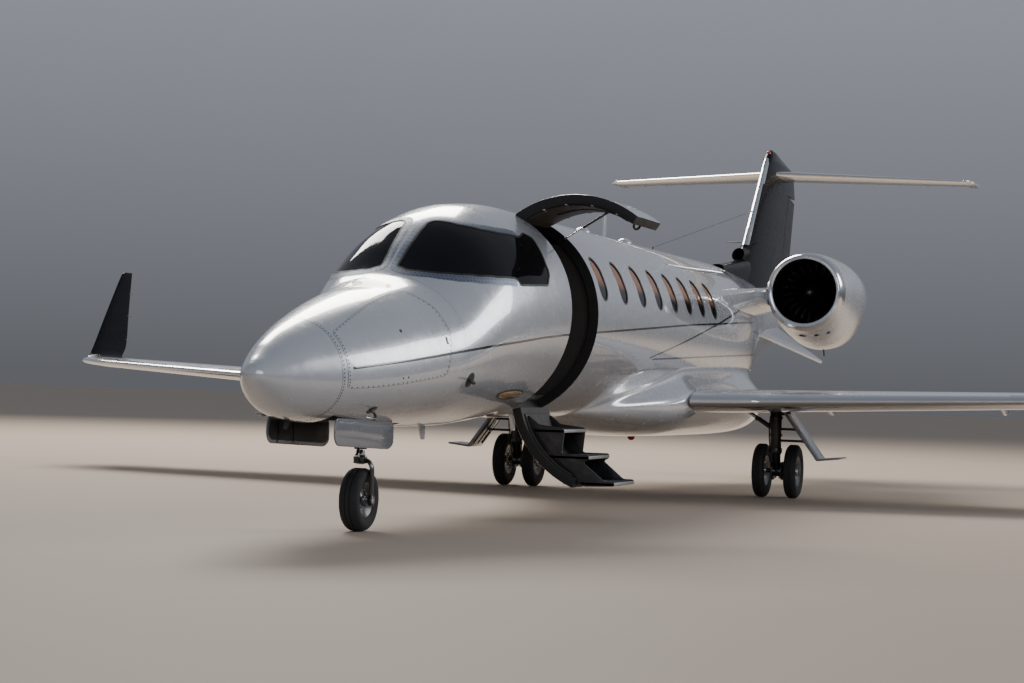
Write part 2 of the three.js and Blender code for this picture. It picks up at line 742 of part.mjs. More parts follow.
// Flap brackets: half thickness of the fairing, gap to the horn beside it, and outlines from the hinge line
const BRACKET = { half: 18, gap: 2, horn: 10, pin: 13 };
const FAIRING_OUTLINE = [
  // aft of the hinge line, above it
  [-620, 120],
  [-420, 20],
  [-60, -24],
  [26, -20],
  [30, 10],
  [-8, 60],
  [-8, 120],
];
const HORN_OUTLINE = [
  [-16, -16],
  [40, -16],
  [190, 90],
  [190, 118],
  [4, 118],
];

function flapBracket(x) {
  // A fairing under the wing carries a pin at the hinge line, and the flap hangs on it by a horn
  const [, s, z] = flapLineAt(x);
  const beside = x + BRACKET.half + BRACKET.gap;
  const hingePin = (grow) => pin(flapLineAt(x - 24), flapLineAt(beside + BRACKET.horn), BRACKET.pin + grow);
  const placed = (outline) => outline.map(([aft, above]) => [s + aft, z + above]);
  const fairing = plate(placed(FAIRING_OUTLINE), x - BRACKET.half, x + BRACKET.half, 'side');
  const horn = plate(placed(HORN_OUTLINE), beside, beside + BRACKET.horn, 'side');
  return { fixed: fairing.subtract(hingePin(SEAM)), root: fairing, moving: joined(horn, hingePin(0)) };
}

function wings() {
  const whole = toSolid(loft(WING.map(wingRing)));
  const aileronLine = (x, chord) => {
    const [, front, rear, z, thickness] = surfaceAt(WING, x);
    const half = fullness(1 - chord / (rear - front)) * thickness;
    return [x, rear - chord, z + half * (2 * WING_ABOVE - 1), half];
  };
  const [inner, outer] = [AILERON.inner, AILERON.outer].map((x) => aileronLine(x, AILERON.chord));
  const aileron = hinged(whole, inner, outer, [900, 1500]);
  const flapLine = (grow) => [
    [FLAP.inner - grow, surfaceAt(WING, FLAP.inner)[2] - FLAP.chord - grow],
    [FLAP.outer + grow, surfaceAt(WING, FLAP.outer)[2] - FLAP.chord - grow],
    [FLAP.outer + grow, 11400],
    [FLAP.inner - grow, 11400],
  ];
  const flap = whole.intersect(plate(flapLine(0), 800, 1500, 'plan'));
  const legBay = box(...LEG_BAY, 700, LEG_BAY_TOP);
  const brackets = FLAP.brackets.map(flapBracket);
  const wing = aileron.fixed.subtract(plate(flapLine(DOOR_GAP + 2), 800, 1500, 'plan')).subtract(legBay);
  const below = brackets.map(({ fixed }) => fixed.subtract(whole));
  const roots = brackets.map(({ root }) => root.intersect(wing));
  addPair('wing', joined(wing, ...below, ...roots), WHITE);
  addPair('aileron', aileron.moving, WHITE);
  addPair('flap', joined(flap, ...brackets.map(({ moving }) => moving)), WHITE);
  const winglet = toSolid(loft(WINGLET.map(([z, x, front, rear, thickness]) => {
    return airfoil((s, offset) => new THREE.Vector3(x + offset, at(s), z), front, rear, thickness, 0.5);
  })));
  const [x, front, rear, z, thickness] = WING[WING.length - 1];
  const tipCap = toSolid(loft([
    wingRing([x + SEAM, front, rear, z, thickness]),
    wingRing([x + 60, front + 80, rear + 140, z + 40, thickness - 24]),
  ]));
  addPair('winglet', winglet.add(tipCap), BLACK);
}

// Belly fairing sections: station, half width, bottom, height of the wing joint, top, half width at the top
const FAIRING = [
  [6500, 560, 790, 900, 960, 460],
  [7100, 760, 705, 930, 1060, 640],
  [7700, 900, 640, 960, 1180, 760],
  [8300, 949.5, 612, 1000, 1290, 800],
  [10900, 949.5, 600, 1040, 1290, 800],
  [11600, 870, 602, 1020, 1260, 690],
  [12500, 620, 625, 960, 1200, 460],
  [13250, 400, 720, 930, 1200, 240],
  [14000, 110, 1140, 1190, 1310, 90],
];

// Power of the fairing's rounded lower corners: 1 would be an ellipse, and less is squarer
const FAIRING_FULLNESS = 0.76;

function fairing() {
  const corners = 4;
  const rings = FAIRING.map(([s, half, bottom, joint, top, topHalf]) => {
    const side = Array.from({ length: corners + 1 }, (_, i) => {
      const turn = (Math.PI / 2) * (i / corners);
      const x = half * Math.sin(turn) ** FAIRING_FULLNESS;
      const z = joint - (joint - bottom) * Math.cos(turn) ** FAIRING_FULLNESS;
      return [x, z];
    });
    const right = [...side, [half, (joint + top) / 2], [topHalf, top]];
    const left = right.slice(1).reverse().map(([x, z]) => [-x, z]);
    return [...right, ...left].map(([x, z]) => new THREE.Vector3(x, at(s), z));
  });
  const whole = toSolid(loft(rings));
  add('wing_fairing', whole.subtract(hull(6000, 14500, -SEAM)), WHITE);
}

// Engines

function nacelleRing([offset, half, up, down], grow = 0) {
  const sides = 20;
  return Array.from({ length: sides }, (_, side) => {
    const turn = (side / sides) * 2 * Math.PI;
    const rise = Math.sin(turn) >= 0 ? up : down;
    const x = ENGINE_X + Math.cos(turn) * (half + grow);
    return new THREE.Vector3(x, at(INLET + offset), ENGINE_Z + Math.sin(turn) * (rise + grow));
  });
}

function engines() {
  const inner = DUCT.map(([offset, radius]) => nacelleRing([offset, radius, radius, radius]));
  const nacelle = toSolid(loft([...NACELLE.map((row) => nacelleRing(row)), ...inner], true));
  addPair('nacelle', nacelle, WHITE);
  const outer = toSolid(loft(NACELLE.map((row) => nacelleRing(row, SEAM))));
  const pylonSection = (x, front, rear, z, thickness) => {
    return airfoil((s, offset) => new THREE.Vector3(x, at(s), z + offset), front, rear, thickness, 0.5);
  };
  const pylon = toSolid(loft(PYLON.map((row) => pylonSection(...row))));
  addPair('pylon', pylon.subtract(outer), WHITE, (side) => side.subtract(hull(9500, 15500, -SEAM)));
  const onAxis = (offset) => [ENGINE_X, INLET + offset, ENGINE_Z];
  const core = rod(onAxis(CORE.front), onAxis(CORE.rear), CORE.frontRadius, CORE.rearRadius, 20);
  const [mountFront, mountRear] = CORE.mount.map((offset) => INLET + offset);
  const mount = box(ENGINE_X - 600, ENGINE_X + 600, mountFront, mountRear, ENGINE_Z - 30, ENGINE_Z + 30);
  const ductBore = toSolid(loft([...DUCT].reverse().map(([offset, radius]) => {
    return nacelleRing([offset, radius - SEAM, radius - SEAM, radius - SEAM]);
  })));
  addPair('engine', core.add(mount.intersect(ductBore)), METAL);
  addPair('fan', fan(), METAL);
}

function fan() {
  const station = INLET + FAN.station;
  const shaftEnd = CORE.front - FAN.station - SEAM;
  const profile = [
    // radius, distance aft of the fan's front
    [0, -230],
    [40, -190],
    [80, -100],
    [FAN.spinner, 0],
    [FAN.spinner, FAN.depth],
    [60, FAN.depth],
    [60, shaftEnd],
    [0, shaftEnd],
  ].map(([radius, aft]) => new THREE.Vector2(radius, aft));
  const spinner = new THREE.LatheGeometry(profile, ROD_SIDES).translate(ENGINE_X, at(station), ENGINE_Z);
  const length = FAN.radius - FAN.bladeFoot;
  const blades = Array.from({ length: FAN.blades }, (_, i) => {
    const blade = new THREE.BoxGeometry(6, FAN.depth * 0.9, length);
    blade.rotateZ(FAN.pitch);
    blade.translate(0, FAN.depth / 2, FAN.bladeFoot + length / 2);
    blade.rotateY((i / FAN.blades) * 2 * Math.PI);
    return toSolid(blade.translate(ENGINE_X, at(station), ENGINE_Z));
  });
  return joined(toSolid(spinner), ...blades);
}

// Tail surfaces

const finRing = ([z, front, rear, thickness]) => {
  return airfoil((s, offset) => new THREE.Vector3(offset, at(s), z), front, rear, thickness, 0.5);
};

function tail() {
  const finWhole = toSolid(loft(FIN.map(finRing)));
  const dorsal = toSolid(loft(DORSAL.map((row) => dorsalRing(...row))));
  const fin = finWhole.add(dorsal).subtract(hull(12000, 16700, -SEAM));
  const swing = (z, s) => {
    const [, front, rear, thickness] = surfaceAt(FIN, z);
    return [0, s, z, fullness((s - front) / (rear - front)) * thickness];
  };
  const low = swing(RUDDER.low, RUDDER.hingeLow);
  const high = swing(RUDDER.high, RUDDER.hingeHigh);
  const lean = (high[1] - low[1]) / (high[2] - low[2]);
  const region = (grow, fall) => plate([
    [low[1] - lean * grow, low[2] - grow],
    [high[1] + lean * grow, high[2] + grow],
    [high[1] + 1200, high[2] + grow - 1200 * fall],
    [low[1] + 1500, low[2] - grow],
  ], -400, 400, 'side');
  const along = ([, s, z], rise) => [0, s + lean * rise, z + rise];
  const post = (grow, extra) => {
    return rod(along(low, -extra), along(high, extra), low[3] + grow, high[3] + grow, NOSE_SIDES);
  };
  const pinAt = (point, turn, grow) => {
    return pin(along(point, -turn * PIN.reach), along(point, turn * (PIN.reach + grow)), PIN.radius + grow);
  };
  const pins = (grow) => joined(pinAt(low, -1, grow), pinAt(high, 1, grow));
  const rudder = fin.intersect(joined(region(-RUDDER.short, RUDDER.topFall), post(0, -NOSE_SHORT)));
  add('rudder', rudder.add(pins(0)), BLACK);
  const rudderRoom = joined(region(DOOR_GAP, 0), post(DOOR_GAP, DOOR_GAP), pins(SEAM));
  add('fin', fin.subtract(rudderRoom).subtract(stabilizer(SEAM)), BLACK);
  const hinge = (x, s) => {
    const [, front, rear, thickness] = surfaceAt(STABILIZER, x);
    return [x, s, STABILIZER_Z, fullness((s - front) / (rear - front)) * thickness];
  };
  const inner = hinge(ELEVATOR.inner, ELEVATOR.hingeInner);
  const outer = hinge(ELEVATOR.outer, ELEVATOR.hingeOuter);
  const parted = hinged(stabilizer(0), inner, outer, [STABILIZER_Z - 110, STABILIZER_Z + 110]);
  addPair('elevator', parted.moving, WHITE);
  add('stabilizer', parted.fixed.intersect(mirrored(parted.fixed)), WHITE);
}

function stabilizerRing(x, front, rear, thickness, grow = 0) {
  const place = (s, offset) => {
    return new THREE.Vector3(x, at(s), STABILIZER_Z + offset + Math.sign(offset) * grow);
  };
  return airfoil(place, front - grow, rear + grow, thickness, 0.5);
}

function stabilizer(grow) {
  const starboard = STABILIZER.slice(1).reverse().map(([x, ...rest]) => [-x, ...rest]);
  return toSolid(loft([...starboard, ...STABILIZER].map((row) => stabilizerRing(...row, grow))));
}

function dorsalRing(s, half, top) {
  const side = [
    [half, 2300],
    [half, top - 60],
    [half * 0.6, top - 12],
  ];
  const other = [...side].reverse().map(([x, z]) => [-x, z]);
  return [...side, [0, top], ...other].map(([x, z]) => new THREE.Vector3(x, at(s), z));
}

function deltaFins() {
  const { front, rear, span, tip, root, depth, droop, toeIn, rise, foot } = DELTA_FIN;
  const outline = [
    // aft of the fin's front, out from its root
    [0, 0],
    [rear - front - tip, span],
    [rear - front, span],
    [rear - front, -root],
    [0, -root],
  ].map(([aft, out]) => new THREE.Vector2(aft, out));
  const geometry = new THREE.ExtrudeGeometry(new THREE.Shape(outline), { depth, bevelEnabled: false });
  geometry.translate(0, 0, -depth / 2);
  const [across, down] = [Math.cos(droop), -Math.sin(droop)];
  const aftward = new THREE.Vector3(0, 1, 0);
  const outward = new THREE.Vector3(across, 0, down);
  const facing = new THREE.Vector3(down, 0, -across);
  geometry.applyMatrix4(new THREE.Matrix4().makeBasis(aftward, outward, facing));
  geometry.rotateZ(toeIn);
  geometry.rotateX(rise);
  geometry.translate(foot.x, at(front), foot.z);
  addPair('delta_fin', toSolid(geometry), WHITE, (side) => side.subtract(hull(12800, 16700, -SEAM)));
}

// Landing gear

function wheel(x, s, radius, width) {
  // A tyre on its rim, about a crosswise axle. One flat of its many-sided tread lies on the ground
  const sides = 20;
  const halfSide = Math.PI / sides;
  const profile = [
    // share of the radius, share of the width
    [0, -0.36],
    [0.54, -0.4],
    [0.86, -0.5],
    [1, -0.28],
    [1, 0.28],
    [0.86, 0.5],
    [0.54, 0.4],
    [0, 0.36],
  ].map(([r, offset]) => new THREE.Vector2(r * radius / Math.cos(halfSide), offset * width));
  const geometry = new THREE.LatheGeometry(profile, sides, halfSide);
  geometry.rotateZ(-Math.PI / 2);
  return toSolid(geometry.translate(x, at(s), radius));
}

const NOSE_DOOR_OUTLINE = [
  // station, height
  [910, 700],
  [930, 830],
  [1970, 800],
  [1985, 640],
  [1900, 600],
  [960, 640],
];

function noseGear() {
  const { s, radius, width } = NOSE_AXLE;
  const post = 590;
  const leg = joined(
    rod([0, s, post + SEAM], [0, s, NOSE_BAY.top - SEAM], 48),
    rod([-NOSE_BAY.half + SEAM, s, NOSE_BAY.top - 90], [NOSE_BAY.half - SEAM, s, NOSE_BAY.top - 90], 26),
    rod([0, s, 760], [0, NOSE_BAY.front + SEAM, 1050], 22),
  );
  const side = NOSE_BAY.half - SEAM;
  const room = box(-side, side, NOSE_BAY.front + SEAM, NOSE_BAY.rear - SEAM, 0, NOSE_BAY.top - SEAM);
  add('nose_gear_leg', leg.intersect(room), METAL);
  const arm = width / 2 + 14;
  const crown = 2 * radius + 18;
  const fork = joined(
    rod([0, s, crown + 10], [0, s, post], 34),
    rod([0, s, crown], [0, s, crown + 50], 52),
    plate([
      [-40, crown + 30],
      [arm - 4, crown + 30],
      [arm + 22, crown],
      [arm + 22, radius - 45],
      [arm - 6, radius - 45],
      [arm - 6, crown],
      [-40, crown],
    ], s - 38, s + 38, 'front'),
  );
  add('nose_gear_fork', fork, METAL);
  const axle = rod([-width / 2 - 6, s, radius], [arm - 6 - SEAM, s, radius], AXLE_RADIUS - 6);
  add('nose_wheel', wheel(0, s, radius, width).add(axle), RUBBER);
  const doorLeft = plate(NOSE_DOOR_OUTLINE, NOSE_BAY.half + 4, NOSE_BAY.half + 22, 'side');
  addPair('nose_gear_door', doorLeft, WHITE, (side) => side.subtract(hull(500, 2600, -SEAM)));
}

// Main leg door, seen from the front: x, height. Its foot turns out over the wheel
const LEG_DOOR = { ahead: 330, behind: 60 };
const LEG_DOOR_INNER = [
  [1540, 905],
  [1890, 410],
];
const LEG_DOOR_OUTLINE = [
  LEG_DOOR_INNER[0],
  [1565, 905],
  [1915, 430],
  [2140, 452],
  [2140, 432],
  [1905, 405],
  LEG_DOOR_INNER[1],
];

function mainGear() {
  const { s, radius, width } = MAIN_AXLE;
  const x = MAIN_TRACK;
  const legTop = LEG_BAY_TOP - SEAM;
  const post = s - 150;
  const leg = joined(
    rod([x, post, 470], [x, post, legTop], 62),
    rod([x, post, 480], [x, s, radius], 44, 34),
    rod([x, s + 20, 330], [x, s - 60, legTop - 40], 30),
    rod([x - 60, post, legTop - 60], [x + 90, post, legTop - 60], 40),
    rod([x, post, 700], [1110, post, 905], 26),
    rod([x - 62, s, radius], [x + 62, s, radius], 62),
    ...[720, 600].map((z) => rod([x, post, z], [2000, post, z], 18)),
  );
  const axle = (radiusOf) => pin([x - TWIN_SPACING, s, radius], [x + TWIN_SPACING, s, radius], radiusOf);
  const [top, foot] = LEG_DOOR_INNER.map(([doorX, z]) => [doorX - SEAM, z]);
  const beyond = [top, foot, [foot[0], 100], [2600, 100], [2600, LEG_BAY_TOP], [top[0], LEG_BAY_TOP]];
  const beyondDoor = plate(beyond, s - 400, s + 100, 'front');
  addPair('main_gear_leg', leg.subtract(axle(AXLE_RADIUS + 1)).subtract(beyondDoor), METAL);
  const wheels = [-TWIN_SPACING, TWIN_SPACING].map((offset) => wheel(x + offset, s, radius, width));
  addPair('main_wheels', joined(...wheels, axle(AXLE_RADIUS)), RUBBER);
  const door = plate(LEG_DOOR_OUTLINE, s - LEG_DOOR.ahead, s + LEG_DOOR.behind, 'front');
  addPair('main_gear_door', door, WHITE);
}

nose();
cockpit();
cabin();
interior();
entryDoor();
tailSection();
wings();
fairing();
engines();
tail();
deltaFins();
noseGear();
mainGear();

export default GROUP;
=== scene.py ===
"""A business jet: the looks of each piece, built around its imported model."""

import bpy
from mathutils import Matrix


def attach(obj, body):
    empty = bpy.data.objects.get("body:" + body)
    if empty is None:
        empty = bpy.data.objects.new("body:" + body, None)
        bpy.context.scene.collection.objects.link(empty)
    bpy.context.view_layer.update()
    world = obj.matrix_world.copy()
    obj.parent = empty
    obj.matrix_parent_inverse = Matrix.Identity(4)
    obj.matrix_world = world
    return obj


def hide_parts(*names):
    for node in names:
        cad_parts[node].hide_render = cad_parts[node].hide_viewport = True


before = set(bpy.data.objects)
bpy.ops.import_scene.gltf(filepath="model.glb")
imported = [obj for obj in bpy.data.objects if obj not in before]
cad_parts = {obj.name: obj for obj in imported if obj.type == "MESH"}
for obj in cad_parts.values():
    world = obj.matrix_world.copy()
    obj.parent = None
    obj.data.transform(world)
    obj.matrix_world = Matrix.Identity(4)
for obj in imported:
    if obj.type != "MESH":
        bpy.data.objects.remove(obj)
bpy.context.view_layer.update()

import math
from contextlib import contextmanager
from functools import lru_cache

import bpy
import numpy as np
from mathutils import Matrix, Vector

bl_info = {
    "name": "Business Jet",
    "version": (1, 0, 0),
    "blender": (4, 5, 0),
    "location": "View3D > Sidebar > Jet",
    "description": "Models a business jet's pieces around its packed model",
    "category": "Object",
}

# Stations are millimetres aft of the nose tip, and the frame's Y starts amidships
MIDSHIPS = 8840
MERGE = 2e-5
SMOOTH_ANGLE = math.radians(32)

# Fuselage sections: station, half width, top, height of the widest point, bottom
BODY = [
    (100, 1, 1106, 1105, 1104),
    (103, 22, 1126, 1105, 1084),
    (111, 42, 1144, 1105, 1064),
    (128, 66, 1166, 1103, 1040),
    (168, 97, 1193, 1100, 1004),
    (256, 147, 1240, 1094, 944),
    (400, 209, 1322, 1088, 870),
    (600, 284, 1415, 1087, 818),
    (1000, 425, 1552, 1100, 786),
    (1600, 580, 1716, 1160, 767),
    (2270, 690, 1862, 1260, 755),
    (2420, 712, 1950, 1300, 753),
    (2700, 752, 2160, 1400, 751),
    (2970, 785, 2330, 1490, 752),
    (3200, 808, 2420, 1540, 754),
    (3600, 842, 2512, 1620, 772),
    (4234, 874, 2559, 1685, 808),
    (4992, 875, 2561, 1686, 811),
    (7600, 875, 2563, 1687, 812),
    (10250, 875, 2570, 1690, 814),
    (10700, 868, 2573, 1694, 817),
    (11200, 850, 2574, 1700, 830),
    (12000, 735, 2578, 1722, 890),
    (12800, 575, 2562, 1775, 1025),
    (13600, 425, 2536, 1845, 1195),
    (14400, 300, 2504, 1910, 1360),
    (15200, 195, 2468, 1975, 1535),
    (16000, 112, 2430, 2060, 1730),
    (16500, 66, 2392, 2105, 1862),
    (16640, 50, 2372, 2122, 1912),
    (16690, 30, 2346, 2134, 1962),
    (16700, 6, 2300, 2150, 2040),
]
# Each side: its sign along X, and its word
SIDES = ((1, "left"), (-1, "right"))
# The tip lies aft of the CAD's, where the photograph has it
NOSE_TIP = 100
RADOME_JOINT = 790
NOSE_JOINT = 2270
DOOR_FRONT = 4234
DOOR_REAR = 4992
CABIN_END = 10250
BODY_END = 16700
WALL = 80
SEAM = 0.3
DOOR_GAP = 6
NOSE_BAY = (235, 930, 2160, 1180)

# Windscreen pane: station, and degrees above the port side round the body. Its outline is worked out
# in millimetres, with the angle times the length of one degree
DEGREE = 14.5
PANE = [
    (2412, 85.2),
    (2403, 81.0),
    (2387, 77.3),
    (2428, 67.6),
    (2491, 58.4),
    (2599, 47.6),
    (2753, 37.7),
    (2956, 29.4),
    (3215, 24.1),
    (3240, 20.1),
    (3476, 17.3),
    (3752, 15.6),
    (3797, 18.7),
    (3851, 21.8),
    (3849, 27.9),
    (3875, 34.3),
    (3884, 38.7),
    (3905, 43.3),
    (3856, 45.5),
    (3806, 47.8),
    (3721, 46.5),
    (3640, 45.2),
    (3384, 50.7),
    (3198, 57.9),
    (3067, 67.6),
    (3019, 79.4),
    (2965, 83.6),
]
PANE_MIDDLE = (3190, 33 * DEGREE)

# Cabin windows
WINDOW_CENTRES = [5240, 5880, 6500, 7095, 7675, 8240, 8785, 9310]
WINDOW_SIZE = (250, 375)
WINDOW_MIDDLE = 2017.5

# Entry door: parametric angles of its hinges and split, and how far each half stands open
UPPER_HINGE = 66.1
LOWER_HINGE = -63.8
DOOR_SPLIT = -7.45
UPPER_OPEN = 60
LOWER_OPEN = 104

# Black trim lines on the side view: station, height
STRIPES = [
    [(889, 1168), (1521, 1239), (2626, 1368), (3671, 1471), (4168, 1507), (5054, 1557), (8184, 1734), (11300, 1876)],
    [(7000, 1370), (9000, 1438), (11270, 1510), (12400, 1545)],
    [(6900, 1380), (10700, 2000)],
]


# Placing


def put(x, station, height):
    """A point of the frame, in metres, from x, station and height in millimetres."""
    return Vector((x / 1000, (station - MIDSHIPS) / 1000, height / 1000))


def smooth(table):
    """A smooth curve through every column of a table, with no overshoot, over its first column."""
    rows = np.array(table, float)
    x, y = rows[:, 0], rows[:, 1:]
    step = np.diff(x)[:, None]
    rise = np.diff(y, axis=0) / step
    slope = np.zeros_like(y)
    slope[0], slope[-1] = rise[0], rise[-1]
    before, after = 2 * step[1:] + step[:-1], step[1:] + 2 * step[:-1]
    same = rise[:-1] * rise[1:] > 0
    safe = np.where(same, rise[:-1], 1), np.where(same, rise[1:], 1)
    slope[1:-1] = np.where(same, (before + after) / (before / safe[0] + after / safe[1]), 0)

    def at(value):
        value = np.clip(np.asarray(value, float), x[0], x[-1])
        row = np.clip(np.searchsorted(x, value) - 1, 0, len(x) - 2)
        h = step[row, 0]
        t = (value - x[row]) / h
        t, h = t[..., None], h[..., None]
        return (
            (1 + 2 * t) * (1 - t) ** 2 * y[row]
            + t * (1 - t) ** 2 * h * slope[row]
            + t * t * (3 - 2 * t) * y[row + 1]
            + t * t * (t - 1) * h * slope[row + 1]
        )

    return at


def straight(table):
    """The straight lines through every column of a table, over its first column."""
    rows = np.array(table, float)

    def at(value):
        return [float(np.interp(value, rows[:, 0], column)) for column in rows[:, 1:].T]

    return at


body_curve = smooth(BODY)


@lru_cache(maxsize=None)
def section(station):
    """The half width, top, height of the widest point and bottom of the body at a station."""
    return tuple(float(value) for value in body_curve(station))


def body_point(station, degrees, inset=0):
    """A point of the body's outside. The angle goes up from the port side."""
    half, top, wide, bottom = section(round(station, 4))
    turn = math.radians(degrees)
    rise = (top - wide if math.sin(turn) > 0 else wide - bottom) - inset
    return put(math.cos(turn) * (half - inset), station, wide + math.sin(turn) * rise)


def body_x(station, height, inset=0):
    """How far out the body's side is at a station and height."""
    half, top, wide, bottom = section(round(station, 4))
    rise = (top - wide if height > wide else wide - bottom) - inset
    share = min(1.0, abs(height - wide) / rise)
    return (half - inset) * math.sqrt(1 - share * share)


def body_normals(points):
    """The body's outward direction at points given in metres, and how far outside it each lies."""

    def level(p):
        half, top, wide, bottom = body_curve(p[:, 1] * 1000 + MIDSHIPS).T / 1000
        up = p[:, 2] - wide
        rise = np.where(up > 0, top - wide, wide - bottom)
        return np.hypot(p[:, 0] / half, up / rise) - 1, np.minimum(half, rise)

    gradient = np.zeros_like(points)
    nudge = 5e-4
    for axis in range(3):
        shift = np.zeros(3)
        shift[axis] = nudge
        gradient[:, axis] = (level(points + shift)[0] - level(points - shift)[0]) / (2 * nudge)
    value, size = level(points)
    gradient /= np.maximum(np.linalg.norm(gradient, axis=1, keepdims=True), 1e-9)
    return gradient, value * size


# Modelling


def pick(*pieces):
    """Selects these pieces alone, the first one active."""
    bpy.ops.object.select_all(action="DESELECT")
    for piece in pieces:
        piece.select_set(True)
    bpy.context.view_layer.objects.active = pieces[0]


@contextmanager
def editing(piece, select="SELECT"):
    """Edit mode on one piece, with all or none of it selected."""
    pick(piece)
    bpy.ops.object.mode_set(mode="EDIT")
    bpy.ops.mesh.select_all(action=select)
    yield
    bpy.ops.object.mode_set(mode="OBJECT")


def named(name):
    """Names the piece that an operator has just made, and takes its place into its mesh."""
    piece = bpy.context.object
    piece.name = piece.data.name = name
    bpy.ops.object.transform_apply(location=True, rotation=True, scale=True)
    return piece


def start():
    bpy.ops.object.select_all(action="DESELECT")


def sheet(name, across, along, place, ends=False):
    """A skin of across by along faces. place turns two shares of it into a point."""
    start()
    bpy.ops.mesh.primitive_grid_add(x_subdivisions=across, y_subdivisions=along, size=1)
    piece = named(name)
    vertices = piece.data.vertices
    if len(vertices) != (across + 1) * (along + 1):
        raise RuntimeError(f"{name}: the grid has {len(vertices)} points")
    for vertex in vertices:
        u = round((vertex.co.x + 0.5) * across) / across
        v = round((vertex.co.y + 0.5) * along) / along
        vertex.co = place(u, v)
    with editing(piece):
        bpy.ops.mesh.remove_doubles(threshold=MERGE)
        if ends:
            bpy.ops.mesh.fill_holes(sides=0)
        bpy.ops.mesh.normals_make_consistent(inside=False)
    return piece


def lathe(name, profile, centre, axis, steps=48, ring=False):
    """A turned piece. The profile is (radius, distance along the axis), in millimetres. A ring's is closed."""
    start()
    bpy.ops.mesh.primitive_circle_add(vertices=len(profile), radius=1)
    piece = named(name)
    along = Vector(axis).normalized()
    side = along.orthogonal().normalized()
    middle = put(*centre)
    for vertex, (radius, distance) in zip(piece.data.vertices, profile):
        vertex.co = middle + side * (radius / 1000) + along * (distance / 1000)
    last = len(profile) - 1
    if not ring:
        with editing(piece, "DESELECT"):
            bpy.ops.mesh.select_mode(type="EDGE")
        for edge in piece.data.edges:
            edge.select = set(edge.vertices) == {0, last}
        with_mode(piece, lambda: bpy.ops.mesh.delete(type="EDGE"))
    with editing(piece):
        bpy.ops.mesh.select_mode(type="VERT")
        bpy.ops.mesh.select_all(action="SELECT")
        bpy.ops.mesh.spin(steps=steps, angle=2 * math.pi, center=middle, axis=along)
        bpy.ops.mesh.select_all(action="SELECT")
        bpy.ops.mesh.remove_doubles(threshold=MERGE)
        bpy.ops.mesh.fill_holes(sides=0)
        bpy.ops.mesh.normals_make_consistent(inside=False)
    return piece


def with_mode(piece, act):
    """Acts in edit mode on what is already selected."""
    pick(piece)
    bpy.ops.object.mode_set(mode="EDIT")
    act()
    bpy.ops.object.mode_set(mode="OBJECT")


VIEWS = {
    "side": lambda a, b, c: put(c, a, b),
    "plan": lambda a, b, c: put(a, b, c),
    "front": lambda a, b, c: put(a, c, b),
}


def prism(name, outline, view, low, high):
    """An outline with depth, drawn on the side (station, height), plan (x, station) or front (x, height)."""
    start()
    bpy.ops.mesh.primitive_circle_add(vertices=len(outline), radius=1, fill_type="NGON")
    piece = named(name)
    place = VIEWS[view]
    for vertex, (a, b) in zip(piece.data.vertices, outline):
        vertex.co = place(a, b, low)
    deep = place(0, 0, high) - place(0, 0, low)
    with editing(piece):
        bpy.ops.mesh.extrude_region_move(TRANSFORM_OT_translate={"value": deep})
        bpy.ops.mesh.select_all(action="SELECT")
        bpy.ops.mesh.normals_make_consistent(inside=False)
    return piece


def block(name, x, stations, heights, bevel=0, segments=2):
    """A block between two x, two stations and two heights, with its edges rounded."""
    low, high = put(x[0], stations[0], heights[0]), put(x[1], stations[1], heights[1])
    start()
    bpy.ops.mesh.primitive_cube_add(size=1, location=(low + high) / 2, scale=high - low)
    piece = named(name)
    if bevel:
        rounding(piece, bevel, segments)
    return piece


def bar(name, ends, radius, end_radius=None, sides=20, bevel=0):
    """A round bar between two points given as x, station, height."""
    a, b = put(*ends[0]), put(*ends[1])
    start()
    bpy.ops.mesh.primitive_cone_add(
        vertices=sides,
        radius1=radius / 1000,
        radius2=(radius if end_radius is None else end_radius) / 1000,
        depth=(b - a).length,
        location=(a + b) / 2,
        rotation=(b - a).to_track_quat("Z", "Y").to_euler(),
    )
    piece = named(name)
    if bevel:
        rounding(piece, bevel, 2)
    return piece


def hose(name, points, radius, sides=8):
    """A round tube along a smooth line through points given as x, station, height."""
    curve = bpy.data.curves.new(name, "CURVE")
    curve.dimensions = "3D"
    curve.bevel_depth = radius / 1000
    curve.bevel_resolution = max(0, sides // 4 - 1)
    curve.resolution_u = 6
    curve.use_fill_caps = True
    spline = curve.splines.new("BEZIER")
    spline.bezier_points.add(len(points) - 1)
    for knot, point in zip(spline.bezier_points, points):
        knot.co = put(*point)
        knot.handle_left_type = knot.handle_right_type = "AUTO"
    piece = bpy.data.objects.new(name, curve)
    bpy.context.scene.collection.objects.link(piece)
    pick(piece)
    bpy.ops.object.convert(target="MESH")
    return bpy.context.object


def apply(piece, kind, **settings):
    """Adds a modifier, sets it and applies it."""
    pick(piece)
    modifier = piece.modifiers.new(kind.lower(), kind)
    for key, value in settings.items():
        setattr(modifier, key, value)
    bpy.ops.object.modifier_apply(modifier=modifier.name)


def rounding(piece, width, segments=2, angle=30):
    """Rounds the sharp edges, by a width in millimetres."""
    apply(
        piece,
        "BEVEL",
        width=width / 1000,
        segments=segments,
        limit_method="ANGLE",
        angle_limit=math.radians(angle),
        harden_normals=False,
    )


def walled(piece, thickness, inner=0, rim=0):
    """Gives a skin its thickness inwards, in millimetres, with its own finish inside and on its rim."""
    apply(
        piece,
        "SOLIDIFY",
        thickness=thickness / 1000,
        offset=-1,
        material_offset=inner,
        material_offset_rim=rim,
        use_even_offset=True,
    )


def combine(piece, other, operation):
    """Cuts a piece by another, or keeps what they share, and removes the other."""
    apply(piece, "BOOLEAN", operation=operation, solver="EXACT", object=other, material_mode="TRANSFER")
    bpy.data.objects.remove(other)


def cut(piece, *cutters):
    for cutter in cutters:
        combine(piece, cutter, "DIFFERENCE")


def keep(piece, *cutters):
    for cutter in cutters:
        combine(piece, cutter, "INTERSECT")


